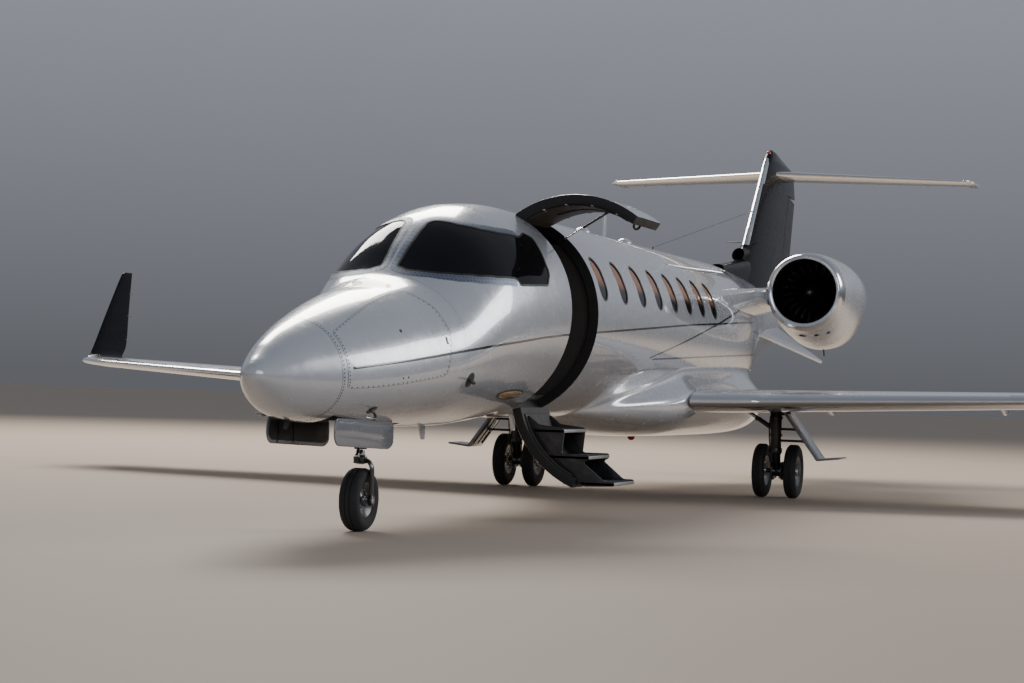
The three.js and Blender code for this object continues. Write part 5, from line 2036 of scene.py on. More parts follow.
NOSE_AXLE = {"s": 1985, "radius": 228.5, "width": 150}
MAIN_AXLE = {"s": 9930, "radius": 279.5, "width": 128}
MAIN_TRACK = 1430
TWIN_OFFSET = 166
LEG_BAY_TOP = 960
NOSE_DOOR_OUTLINE = [(910, 700), (930, 830), (1970, 800), (1985, 640), (1900, 600), (960, 640)]
LEG_DOOR_OUTLINE = [(1540, 905), (1565, 905), (1915, 430), (2140, 452), (2140, 432), (1905, 405), (1890, 410)]


def wheel_set(name, x, axle, grooves):
    """A tyre with a grooved tread on a dished rim with bolts and hub caps."""
    s, radius, width = axle["s"], axle["radius"], axle["width"]
    centre = (x, s, radius)
    rim_radius = radius * 0.56
    bead = [(0.555, -0.34), (0.575, -0.4), (0.66, -0.46), (0.76, -0.495), (0.84, -0.5), (0.9, -0.47)]
    bead += [(0.95, -0.4), (0.982, -0.32), (0.994, -0.26)]
    tread = [(-0.24, 1.0)]
    for middle in grooves:
        tread += [(middle - 0.022, 1.0), (middle - 0.016, 0.975), (middle + 0.016, 0.975), (middle + 0.022, 1.0)]
    tread.append((0.24, 1.0))
    profile = [(r * radius, offset * width) for r, offset in bead]
    profile += [(r * radius, offset * width) for offset, r in tread]
    profile += [(r * radius, -offset * width) for r, offset in reversed(bead)]
    tyre = wear(lathe(name, profile, centre, (1, 0, 0), 64, ring=True), "tyre_rubber")
    pieces = [tyre]
    hub_profile = [(0, -0.2), (0.2, -0.2), (0.24, -0.17), (0.5, -0.12), (0.62, -0.2), (0.8, -0.3), (0.96, -0.37)]
    hub_profile += [(1.0, -0.38), (1.03, -0.35), (1.0, -0.3), (1.0, 0.3), (1.03, 0.35), (1.0, 0.38), (0.96, 0.37)]
    hub_profile += [(0.8, 0.3), (0.62, 0.2), (0.5, 0.12), (0.24, 0.17), (0.2, 0.2), (0, 0.2)]
    hub = lathe("hub", [(r * rim_radius, o * width) for r, o in hub_profile], centre, (1, 0, 0), 48)
    pieces.append(wear(hub, "gear_paint"))
    for side in (-1, 1):
        for i in range(10):
            turn = 2 * math.pi * i / 10
            y, z = math.cos(turn) * rim_radius * 0.56, math.sin(turn) * rim_radius * 0.56
            face = side * width * 0.17
            bolt = bar("bolt", [(x + face, s + y, radius + z), (x + face + side * 9, s + y, radius + z)], 6.5, 5, 6)
            pieces.append(wear(bolt, "chrome"))
        cap_profile = [(0, 0), (0.22, 0), (0.22, 0.1), (0.19, 0.16), (0.1, 0.18), (0, 0.18)]
        cap = lathe(
            "cap",
            [(r * rim_radius, o * width) for r, o in cap_profile],
            (x + side * width * 0.17, s, radius),
            (side, 0, 0),
            24,
        )
        pieces.append(wear(cap, "brushed_metal"))
    return pieces


def collar(ends, radius, finish_name, sides=28, bevel=3):
    return wear(bar("collar", ends, radius, sides=sides, bevel=bevel), finish_name)


def build_nose_gear():
    """The nose leg, its turning fork with one curved arm, and the wheel."""
    s, radius, width = NOSE_AXLE["s"], NOSE_AXLE["radius"], NOSE_AXLE["width"]
    top = NOSE_BAY[3]
    pieces = [
        collar([(0, s, 592), (0, s, 622)], 47, "gear_paint"),
        collar([(0, s, 622), (0, s, 660)], 42, "chrome"),
        collar([(0, s, 658), (0, s, top - 1)], 47, "gear_paint"),
        collar([(0, s, 700), (0, s, 730)], 56, "gear_paint"),
        collar([(0, s, 860), (0, s, 884)], 56, "gear_paint"),
        collar([(-234, s, top - 90), (234, s, top - 90)], 25, "gear_paint"),
        collar([(0, s, 762), (0, s - 500, 902)], 21, "gear_paint", 20),
        collar([(0, s - 470, 893), (0, NOSE_BAY[1] + 3, 1050)], 15, "chrome", 20),
        collar([(0, s - 520, 900), (0, s - 460, 900)], 27, "gear_paint", 20),
        collar([(-36, s, 748), (36, s, 748)], 18, "dark_metal", 16),
        collar([(-62, s + 8, 640), (62, s + 8, 640)], 14, "chrome", 16),
        collar([(-62, s + 8, 636), (-62, s + 8, 676)], 17, "gear_paint", 16),
        collar([(62, s + 8, 636), (62, s + 8, 676)], 17, "gear_paint", 16),
    ]
    for x, bow in ((-30, -1), (30, 1)):
        line = [(x, s + 44, 1080), (x + 14 * bow, s + 62, 940), (x + 4 * bow, s + 52, 800), (x, s + 46, 680)]
        pieces.append(wear(hose("brake_line", line, 6), "seal_rubber"))
    leg = soften_all(join("nose_leg_strut", *pieces))
    done(leg, "airframe", "bare_metal", "nose_gear_leg")

    crown = 2 * radius + 18
    arm_x = width / 2 + 21
    arm = [(0, s, crown + 44), (46, s, crown + 40), (84, s, crown + 8), (arm_x, s, crown - 56)]
    arm += [(arm_x, s, crown - 140), (arm_x - 1, s, radius + 30), (arm_x - 1, s, radius)]
    pieces = [
        collar([(0, s, crown + 8), (0, s, 588)], 33, "chrome"),
        collar([(0, s, crown + 14), (0, s, crown + 64)], 50, "gear_paint"),
        collar([(0, s, crown + 60), (0, s, crown + 76)], 40, "gear_paint"),
        wear(hose("fork_arm", arm, 15, 16), "gear_paint"),
        collar([(width / 2 + 8, s, radius), (width / 2 + 35, s, radius)], 44, "gear_paint"),
        collar([(width / 2 + 34, s, radius), (width / 2 + 36, s, radius)], 26, "chrome", 24, 0.5),
    ]
    wide = Matrix.Diagonal((1, 1.9, 1, 1))
    moved(pieces[3], Matrix.Translation(put(0, s, 0)) @ wide @ Matrix.Translation(-put(0, s, 0)))
    upper = [(20, s - 70, 696), (24, s - 112, 610)]
    pieces.append(collar([(x, y, z - 60) for x, y, z in upper], 11, "gear_paint", 12, 2))
    pieces.append(collar([(24, s - 112, 550), (24, s - 50, 500)], 11, "gear_paint", 12, 2))
    pieces.append(collar([(10, s - 112, 550), (38, s - 112, 550)], 14, "chrome", 12, 2))
    fork = soften_all(join("nose_fork_arm", *pieces))
    done(fork, "nose_fork", "bare_metal", "nose_gear_fork")

    pieces = wheel_set("nose_tyre", 0, NOSE_AXLE, (-0.12, 0.12))
    pieces.append(collar([(-width / 2 - 4, s, radius), (width / 2 + 7, s, radius)], 22, "chrome", 24))
    wheel = soften_all(join("nose_wheel_tyre", *pieces))
    done(wheel, "nose_wheel", "tyre", "nose_wheel")
    build_nose_doors()


def build_nose_doors():
    """The two doors that hang beside the nose leg, each a bowed skin on a dark pan."""
    half = NOSE_BAY[0]
    outline = rounded(NOSE_DOOR_OUTLINE, 46, 5)
    skin = prism("nose_door_skin_left", outline, "side", half + 9, half + 22)
    rounding(skin, 5, 3)
    wear(skin, "door_paint")
    inner = [tuple(point) for point in loop_points(outline, -26)]
    pan = prism("pan", inner, "side", half + 4, half + 13)
    rounding(pan, 2, 2)
    pieces = [skin, wear(pan, "dark_trim")]
    for s in (1080, 1330, 1580, 1830):
        rib = block("rib", (half + 4, half + 8), (s - 9, s + 9), (640, 790), 2)
        pieces.append(wear(rib, "dark_metal"))
    band = block("hinge_strip", (half + 20, half + 25), (950, 1950), (770, 782), 2)
    pieces.append(wear(band, "dark_metal"))
    door = join("nose_door_skin_left", *pieces)
    cut(door, wear(tube_skin("body_form", 500, 2600, 40, 96, ends=True), "dark_trim"))
    soften(door)
    done(mirrored(door, "nose_door_skin_right"), "airframe", "white_paint", "nose_gear_door_right")
    done(door, "airframe", "white_paint", "nose_gear_door_left")


def build_main_gear():
    """The main legs: a shock strut, a trailing link, braces, brakes and twin wheels."""
    s, radius = MAIN_AXLE["s"], MAIN_AXLE["radius"]
    x, post = MAIN_TRACK, MAIN_AXLE["s"] - 150
    top = LEG_BAY_TOP - 1
    pieces = [
        collar([(x, post, 476), (x, post, top)], 60, "gear_paint"),
        collar([(x, post, 640), (x, post, 668)], 70, "gear_paint"),
        collar([(x, post, 470), (x, post, 520)], 70, "gear_paint"),
        collar([(x, post, 820), (x, post, 850)], 70, "gear_paint"),
        collar([(x, post, 490), (x, s, radius)], 42, "gear_paint"),
        collar([(x - 62, post, 496), (x + 62, post, 496)], 30, "gear_paint"),
        collar([(x, s + 20, 330), (x, s + 2, 480)], 25, "chrome"),
        collar([(x, s + 6, 450), (x, s - 58, top - 40)], 30, "gear_paint"),
        collar([(x - 44, s + 18, 336), (x + 44, s + 18, 336)], 17, "chrome", 20),
        collar([(x - 58, post, top - 60), (x + 88, post, top - 60)], 38, "gear_paint"),
        collar([(x, post, 700), (x - 190, post, 822)], 25, "gear_paint", 20),
        collar([(x - 180, post, 816), (x - 318, post, 904)], 19, "chrome", 20),
        collar([(x - 198, post - 24, 822), (x - 198, post + 24, 822)], 24, "gear_paint", 20),
        collar([(x - 60, s, radius), (x + 60, s, radius)], 60, "gear_paint", 36),
    ]
    for offset in (-48, 48):
        pieces.append(collar([(x + offset - 8, s, radius), (x + offset + 8, s, radius)], 96, "dark_metal", 40, 2))
        for i in range(6):
            turn = 2 * math.pi * i / 6
            y, z = s + 76 * math.cos(turn), radius + 76 * math.sin(turn)
            piston = [(x + offset * 0.4, y, z), (x + offset, y, z)]
            pieces.append(collar(piston, 13, "brushed_metal", 12, 1.5))
    for z in (720, 600):
        reach = 1540 + (905 - z) * 350 / 495
        pieces.append(collar([(x, post, z), (reach - 10, post, z)], 13, "gear_paint", 14, 2))
        pieces.append(collar([(reach - 34, post - 14, z), (reach - 34, post + 14, z)], 17, "gear_paint", 14, 2))
    for side in (-1, 1):
        line = [(x + 30 * side, post - 70, 930), (x + 52 * side, post - 84, 760), (x + 46 * side, post - 76, 560)]
        line += [(x + 40 * side, post - 30, 420), (x + 44 * side, s - 100, 340)]
        pieces.append(wear(hose("brake_line", line, 6.5), "seal_rubber"))
    leg = soften_all(join("main_leg_strut_left", *pieces))
    done(mirrored(leg, "main_leg_strut_right"), "airframe", "bare_metal", "main_gear_leg_right")
    done(leg, "airframe", "bare_metal", "main_gear_leg_left")

    pieces = [collar([(x - TWIN_OFFSET, s, radius), (x + TWIN_OFFSET, s, radius)], 26, "chrome", 24)]
    for offset in (-TWIN_OFFSET, TWIN_OFFSET):
        pieces += wheel_set("main_tyre", x + offset, MAIN_AXLE, (-0.14, 0, 0.14))
    wheels = soften_all(join("main_tyres_left", *pieces))
    done(mirrored(wheels, "main_tyres_right"), "main_wheels_right", "tyre", "main_wheels_right")
    done(wheels, "main_wheels_left", "tyre", "main_wheels_left")

    door = prism("leg_door_left", rounded(LEG_DOOR_OUTLINE, 10, 3), "front", s - 330, s + 60)
    rounding(door, 3, 2, 50)
    wear(door, "door_paint")
    inner = [door]
    for y in (s - 280, s - 135, s + 10):
        rib = [(1552, 880), (1560, 884), (1886, 440), (1878, 436)]
        piece = prism("rib", [(a - 14, b) for a, b in rib], "front", y - 7, y + 7)
        inner.append(wear(piece, "dark_metal"))
    door = soften_all(join("leg_door_left", *inner))
    done(mirrored(door, "leg_door_right"), "airframe", "white_paint", "main_gear_door_right")
    done(door, "airframe", "white_paint", "main_gear_door_left")


def build_baggage_door():
    """The baggage door's skin in the tail, with its latches and hinge barrels."""
    low, high, front, rear = BAGGAGE["low"], BAGGAGE["high"], BAGGAGE["front"], BAGGAGE["rear"]
    rear -= BAGGAGE["rear_room"]

    def place(u, v):
        return body_point(front - 40 + (rear - front + 80) * v, low - 4 + (high - low + 8) * u)

    skin = facing(sheet("baggage_skin", 26, 20, place), (1, 0, 0))
    wear(skin, "body_paint", "dark_lining", "seal_rubber")
    walled(skin, BAGGAGE["depth"], 1, 2)
    region = sector("region", low, high, (front, rear), 2 * DOOR_GAP)
    keep(skin, wear(region, "seal_rubber"))
    faired(skin)
    ends = [body_point(s, low) * 1000 for s in (front, BAGGAGE["rear"])]
    pieces = [skin]
    for share in (0.2, 0.8):
        half = 44 / (BAGGAGE["rear"] - front)
        points = [ends[0].lerp(ends[1], share + turn * half) for turn in (-1, 1)]
        knuckle = bar("knuckle", [(p.x, p.y + MIDSHIPS, p.z) for p in points], 13, sides=20, bevel=2)
        pieces.append(wear(knuckle, "brushed_metal"))
    for s in (front + 170, rear - 170):
        point, outward = body_places([(s, 1690)], (1,))[0]
        start()
        latch = block("latch", (-2, 1.6), (MIDSHIPS - 34, MIDSHIPS + 34), (-13, 13), 1.2)
        turn = outward.to_track_quat("X", "Z").to_matrix().to_4x4()
        pieces.append(wear(moved(latch, Matrix.Translation(point) @ turn), "brushed_metal"))
    keep_normals = skin.name
    for piece in pieces[1:]:
        soften(piece)
    door = join(keep_normals, *pieces)
    done(door, "baggage_door", "white_paint", "baggage_door")


# The gas strut's ends with the upper door closed: x, station, height
STRUT_EYES = [(745, DOOR_REAR - 50, 1998), (324, DOOR_REAR - 50, 2231)]


def build_door_strut():
    """The gas strut under the raised upper door, with its ball ends, drawn with the door closed."""
    foot, head = (Vector(point) for point in STRUT_EYES)
    at = lambda share: tuple(foot.lerp(head, share))
    across = lambda point, reach: [(point[0], point[1] + turn * reach, point[2]) for turn in (-1, 1)]
    pieces = [
        collar([at(0.03), at(0.56)], 10, "dark_metal", 20, 2),
        collar([at(0.54), at(0.97)], 5.5, "chrome", 16, 1),
        collar([at(0.52), at(0.58)], 10.8, "dark_trim", 20, 2),
        collar(across(at(0.03), 10.5), 10.5, "dark_metal", 16, 2),
        collar(across(at(0.97), 10.5), 10.5, "dark_metal", 16, 2),
    ]
    strut = soften_all(join("door_gas_strut", *pieces))
    moved(strut, hinge_turn(*UPPER_TURN))
    done(strut, "upper_door", "dark_trim", "door_strut")


# Interior

FLOOR_TOP = 1010.3
PILOT_SEAT = {"x": 345, "station": 3560, "width": 430}
CABIN_SEAT = {"x": 450, "width": 520}
# Widths of a seat's foot and column as shares of the seat's, so that they stay inside the body's wall
SEAT_FOOT = 0.28
SEAT_COLUMN = 0.4
SEAT_ROWS = [
    # station, facing: 1 looks forward and -1 looks aft
    (5620, -1),
    (6900, 1),
    (7620, -1),
    (8880, 1),
]
PRESSURE = 4
CLOTH_FRAMES = 20


def padded_block(name, x, aft, heights, corner, channels, axis):
    """A sewn cushion near the origin. It swells as cloth, and stays tied down along its channels."""
    piece = block(name, x, [MIDSHIPS + value for value in aft], heights, corner, 4)
    voxel, swell = sizes().voxel, sizes().swell
    apply(piece, "REMESH", mode="VOXEL", voxel_size=voxel)
    ties = piece.vertex_groups.new(name="ties")
    lines = [value / 1000 for value in channels]
    tied = [v.index for v in piece.data.vertices if any(abs(v.co[axis] - line) < voxel * 0.6 for line in lines)]
    ties.add(tied, 1.0, "REPLACE")
    flat = np.array([tuple(v.co) for v in piece.data.vertices])
    pick(piece)
    cloth = piece.modifiers.new("swell", "CLOTH")
    cloth.settings.use_pressure = True
    cloth.settings.uniform_pressure_force = PRESSURE
    cloth.settings.effector_weights.gravity = 0
    cloth.settings.vertex_group_mass = "ties"
    for frame_number in range(1, CLOTH_FRAMES + 1):
        bpy.context.scene.frame_set(frame_number)
    bpy.ops.object.modifier_apply(modifier="swell")
    bpy.context.scene.frame_set(1)
    for vertex, before in zip(piece.data.vertices, flat):
        shift = vertex.co - Vector(before)
        if shift.length > swell:
            vertex.co = Vector(before) + shift.normalized() * swell
    piece.vertex_groups.clear()
    apply(piece, "SUBSURF", levels=1, render_levels=1)
    wear(piece, "leather")
    pick(piece)
    bpy.ops.object.shade_smooth()
    return piece


def seat_cushions(kind, width):
    """The cushion, back and headrest of one seat looking forward, about the origin on the floor."""
    half = width / 2
    base = FLOOR_TOP
    third = (half - 40) / 2.6
    channels = (-third, third)
    return [
        padded_block(
            f"{kind}_{word}", (side - half, half - side), aft, (base + low, base + high), corner, lines, 0
        )
        for word, side, aft, low, high, corner, lines in (
            ("seat", 28, (-250, 176), 248, 362, 34, channels),
            ("back", 44, (204, 292), 396, 862, 34, channels),
            ("rest", 134, (236, 300), 908, 1062, 26, ()),
        )
    ]


def seat_frame(kind, width):
    """One seat's pedestal, pan, back shell, arms and belt, about the origin on the floor."""
    half, base = width / 2, FLOOR_TOP
    s = MIDSHIPS
    foot_half, column_half = SEAT_FOOT * half, SEAT_COLUMN * half
    foot = block("foot", (-foot_half, foot_half), (s - 178, s + 178), (base + 0.5, base + 60), 12, 3)
    column = block("column", (-column_half, column_half), (s - 120, s + 130), (base + 50, base + 236), 30, 4)
    pan = block("pan", (2 - half, half - 2), (s - 268, s + 228), (base + 202, base + 250), 20, 4)
    shell = block("shell", (22 - half, half - 22), (s + 300, s + 338), (base + 232, base + 898), 18, 4)
    neck = block("neck", (-60, 60), (s + 262, s + 318), (base + 850, base + 930), 12, 3)
    pieces = [
        wear(foot, "dark_metal"),
        wear(column, "dark_trim"),
        wear(pan, "lining"),
        wear(shell, "lining"),
        wear(neck, "dark_trim"),
    ]
    for side in (-1, 1):
        x = sorted((side * (half - 2), side * (half - 24)))
        arm = block("arm", x, (s - 200, s + 300), (base + 240, base + 388), 10, 3)
        pieces.append(wear(arm, "lining"))
        outer = [value + side * 0.6 for value in x]
        inlay = block("inlay", outer, (s - 180, s + 180), (base + 330, base + 352), 2)
        pieces.append(wear(inlay, "wood"))
    for side in (-1, 1):
        points = [
            (side * (half - 40), s + 170, base + 384),
            (side * 90, s - 20, base + 400),
            (side * 14, s - 66, base + 404),
        ]
        strap = wear(hose("strap", points, 5, 8), "dark_lining")
        pieces.append(strap)
    pieces.append(wear(block("buckle", (-20, 20), (s - 86, s - 46), (base + 396, base + 412), 4), "chrome"))
    return soften_all(join(f"{kind}_frame", *pieces))


def placed(piece, name, x, station, facing):
    """A copy of a piece from about the origin, set on its place and turned to look forward or aft."""
    turn = Matrix.Rotation(0 if facing > 0 else math.pi, 4, "Z")
    return moved(twin(piece, name), Matrix.Translation(put(x, station, 0)) @ turn)


def build_seats():
    """Two pilots' seats and eight club seats with swollen leather cushions."""
    words = ("cushion", "backrest", "headrest")
    sets = (
        (
            "pilot",
            PILOT_SEAT["width"],
            [(side * PILOT_SEAT["x"], PILOT_SEAT["station"], 1, "pilot_seats") for side in (1, -1)],
        ),
        (
            "cabin",
            CABIN_SEAT["width"],
            [
                (side * CABIN_SEAT["x"], station, facing, f"cabin_seats_{word}")
                for side, word in SIDES
                for station, facing in SEAT_ROWS
            ],
        ),
    )
    for kind, width, places in sets:
        cushions = seat_cushions(kind, width)
        frame_piece = seat_frame(kind, width)
        for row, (x, station, facing, node) in enumerate(places):
            for word, cushion in zip(words, cushions):
                pad = placed(cushion, f"{kind}_{word}_{row + 1}", x, station, facing)
                done(pad, "airframe", "seat_leather", node)
            stand = placed(frame_piece, f"{kind}_seat_frame_{row + 1}", x, station, facing)
            done(stand, "airframe", "seat_leather", node)
        for piece in (*cushions, frame_piece):
            bpy.data.objects.remove(piece)


def build_flight_deck():
    """The instrument panel with its displays, the pedestal and two control yokes."""
    coaming = block("coaming", (-560, 560), (2566, 2820), (1744, 1812), 30, 4)
    panel = block("panel", (-700, 700), (2790, 2870), (1486, 1780), 16, 3)
    keep(panel, inner_form("room", 2400, 3600, WALL + 4))
    pedestal = block("pedestal", (-106, 106), (2830, 3418), (FLOOR_TOP + 1, 1470), 18, 3)
    pieces = [wear(coaming, "dark_trim"), wear(panel, "dark_trim"), wear(pedestal, "dark_trim")]
    for x in (-360, 0, 360):
        screen = block("screen", (x - 150, x + 150), (2868, 2876), (1540, 1730), 4)
        pieces.append(wear(screen, "display"))
        bezel = block("bezel", (x - 160, x + 160), (2862, 2872), (1530, 1740), 5)
        pieces.append(wear(bezel, "dark_metal"))
    for row in range(12):
        x = -286 + 52 * row
        knob = collar([(x, 2868, 1512), (x, 2886, 1512)], 8, "dark_metal", 14, 1.5)
        pieces.append(knob)
    for x in (-34, 34):
        pieces.append(collar([(x, 3060, 1466), (x, 3040, 1496)], 7, "chrome", 12, 1))
        pieces.append(wear(block("lever", (x - 22, x + 22), (3024, 3050), (1482, 1499), 6, 3), "dark_trim"))
    for row in range(3):
        unit = block("radio", (-90, 90), (3120 + 96 * row, 3202 + 96 * row), (1466, 1474), 2)
        pieces.append(wear(unit, "dark_metal"))
    flight_deck = soften_all(join("flight_deck", *pieces))
    done(flight_deck, "airframe", "dark_trim", "instrument_panel")
    for side, word in SIDES:
        x = side * PILOT_SEAT["x"]
        wheel = [(x - 150, 3010, 1560), (x - 158, 3006, 1480), (x - 110, 3000, 1425), (x, 2996, 1418)]
        wheel += [(x + 110, 3000, 1425), (x + 158, 3006, 1480), (x + 150, 3010, 1560)]
        grip = wear(hose("grip", wheel, 15, 12), "dark_trim")
        column = collar([(x, 2990, 1430), (x, 2872, 1500)], 17, "dark_metal", 20)
        yoke = soften_all(join(f"control_yoke_{word}", grip, column))
        done(yoke, "airframe", "dark_trim")


def dress(name, finish_name):
    """Gives a CAD node that stays as it is a finer material."""
    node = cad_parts[name]
    for slot in node.material_slots:
        slot.link = "OBJECT"
        slot.material = finish(finish_name)


# The galley's drawers: lower and upper edge
DRAWERS = [(1040, 1240), (1250, 1450), (1460, 1560), (1620, 1840), (1850, 2040)]


def build_cabin_fittings():
    """Carpet, the galley with its drawers and the entry partition, both near black as painted shade of the entry,
    and the cabin's tables.
    """
    dress("cabin_floor", "carpet")
    # The galley and partition take near-black finishes: painted shade of the entry.
    dress("galley_cabinet", "dark_wood")
    dress("entry_partition", "dark_lining")
    front, rear = DOOR_FRONT + 60, DOOR_REAR - 20
    pieces = []
    for low, high in DRAWERS:
        for column in range(2):
            near = front + 14 + column * (rear - front) / 2
            far = near + (rear - front) / 2 - 26
            face = block("drawer", (-380.5, -372), (near, far), (low, high), 3)
            pieces.append(wear(face, "dark_wood"))
            handle = [(-366, (near + far) / 2 - 34, high - 26), (-366, (near + far) / 2 + 34, high - 26)]
            pieces.append(collar(handle, 4, "chrome", 12, 1))
            for post in (handle[0][1] + 6, handle[1][1] - 6):
                pieces.append(collar([(-373, post, high - 26), (-366, post, high - 26)], 3, "chrome", 8, 0.5))
    pieces.append(wear(block("worktop", (-384, -364), (front - 4, rear + 4), (1574, 1600), 5), "dark_trim"))
    galley = soften_all(join("galley_drawers", *pieces))
    done(galley, "airframe", "dark_trim")
    for side, word in SIDES:
        tables = []
        for station in (6260, 8250):
            x = sorted((side * 300, side * 690))
            top = block("table", x, (station - 240, station + 240), (1640, 1664), 8, 3)
            tables.append(wear(top, "wood"))
            x = sorted((side * 640, side * 735))
            bracket = block("bracket", x, (station - 60, station + 60), (1560, 1642), 8, 3)
            tables.append(wear(bracket, "lining"))
        piece = soften_all(join(f"cabin_tables_{word}", *tables))
        done(piece, "airframe", "lining")


# Fittings

NOSE_PANEL = [(840, -12), (1991, -9), (2111, 23), (2104, 45), (2017, 67), (1448, 64), (1120, 58), (840, 50)]


def seated(piece, station, degrees, side=1):
    """Sets a piece from about the origin on the body's skin, its Z outwards and its X forwards."""
    point = body_point(station, degrees)
    outward = Vector(body_normals(np.array([tuple(point)], float))[0][0])
    across = outward.cross(Vector((0, -1, 0))).normalized()
    turn = Matrix((across.cross(outward), across, outward)).transposed().to_4x4()
    moved(piece, Matrix.Translation(point) @ turn)
    if side < 0:
        piece.data.transform(Matrix.Scale(-1, 4, (1, 0, 0)))
        piece.data.flip_normals()
    return piece


def dome(name, half_long, half_wide, height, finish_name):
    """A shallow oval dome about the origin."""
    start()
    bpy.ops.mesh.primitive_uv_sphere_add(segments=32, ring_count=16, radius=1)
    piece = moved(named(name), Matrix.Diagonal((half_long / 1000, half_wide / 1000, height / 1000, 1)))
    return wear(piece, finish_name)


def flanged(name, sizes_of, finish_name, flange="dark_metal"):
    """A dome on a thin flange with a ring of screws, about the origin."""
    long, wide, height = sizes_of
    base = dome("base", long * 1.16, wide * 1.2, min(9, height * 0.2), flange)
    turns = [2 * math.pi * i / 8 for i in range(8)]
    ring = [
        (Vector((long * 1.07 * math.cos(a), wide * 1.09 * math.sin(a), 3)) / 1000, Vector((0, 0, 1)))
        for a in turns
    ]
    return join(name, dome("cover", long, wide, height, finish_name), base, studs("screws", ring, 3, "chrome", 1))


def blade_antenna(name, chord, height, thickness, sweep, finish_name):
    """A swept blade on a thin foot, about the origin."""
    outline = [(chord / 2, 0), (chord / 2 - sweep, height), (-sweep, height), (-chord / 2, 0)]
    drawn = [(MIDSHIPS - a, b) for a, b in rounded(outline, 8, 3)]
    blade = prism(name, drawn, "side", -thickness / 2, thickness / 2)
    rounding(blade, thickness * 0.4, 3)
    moved(blade, Matrix.Rotation(math.pi / 2, 4, "Z"))
    wide = (MIDSHIPS - thickness * 1.5, MIDSHIPS + thickness * 1.5)
    foot = block("foot", (-chord * 0.6, chord * 0.6), wide, (-10, 4), 3, 3)
    return wear(join(name, blade, foot), finish_name)


def fitting(name, piece, body="airframe", slot="dark_trim"):
    """A finished fitting under its own name."""
    piece.name = piece.data.name = name
    soften(piece)
    return done(piece, body, slot)


def build_nose_fittings():
    """The nose bay's joints and rivets, the radome's screws, ports, probes, vanes and oval lights."""
    outline = spaced(rounded([(s, angle * DEGREE) for s, angle in NOSE_PANEL], 60), 30)
    profile = [(-2.4, 0.8), (-2, -0.3), (2, -0.3), (2.4, 0.8)]
    joints = [wear(rim("joint", outline, profile, side, round_body), "seal_rubber") for side in (1, -1)]
    fitting("nose_panel_joints", join("joints", *joints))
    inner = [tuple(point) for point in loop_points(outline, -18)]
    marks = along_line(inner, sizes().rivet_pitch * 1000, True)
    marks += [(RADOME_JOINT + 17, angle * DEGREE) for angle in range(-86, 88, 4)]
    heads = studs("nose_rivets", body_places(marks, onto=round_body), 7, "dark_trim", 1.2)
    fitting("nose_rivets", heads, slot="bare_metal")
    ports = []
    for side in (1, -1):
        for s, angle, radius in ((1506, 32.5, 14), (1420, -4, 8), (1480, -4, 8)):
            port = bar("port", [(0, MIDSHIPS, -6), (0, MIDSHIPS, 0.8)], radius, sides=24, bevel=0.5)
            ports.append(wear(seated(port, s, angle, side), "dark_trim"))
        latch = block("latch", (-12, 12), (MIDSHIPS - 26, MIDSHIPS + 26), (-4, 1.6), 1)
        ports.append(wear(seated(latch, 2030, 17.5, side), "dark_metal"))
    fitting("nose_ports", join("ports", *ports))
    for side, word in SIDES:
        plate = bar("plate", [(0, MIDSHIPS, -4), (0, MIDSHIPS, 3)], 46, 42, 32, 1)
        bend = [(0, MIDSHIPS, 0), (-6, MIDSHIPS, 40), (30, MIDSHIPS, 76), (110, MIDSHIPS, 84)]
        arm = wear(hose("arm", bend, 11, 12), "dark_metal")
        tip = bar("tip", [(100, MIDSHIPS, 84), (190, MIDSHIPS, 84)], 11, 7, 16, 1)
        probe = join("probe", wear(plate, "dark_metal"), arm, wear(tip, "brushed_metal"))
        fitting(f"pitot_probe_{word}", seated(probe, 1273, -42.5, side), slot="bare_metal")
        plate = bar("plate", [(0, MIDSHIPS, -4), (0, MIDSHIPS, 3)], 60, 56, 36, 1)
        vane = blade_antenna("vane", 96, 66, 17, -40, "dark_trim")
        vane = join("vane", wear(plate, "dark_trim"), vane)
        fitting(f"flow_vane_{word}", seated(vane, 2412, -19.4, side))
        light = join("light", dome("bezel", 330, 62, 9, "dark_metal"), dome("glass", 300, 46, 15, "lamp_amber"))
        fitting(f"oval_light_{word}", seated(light, 3564, -45, side), slot="glazing")


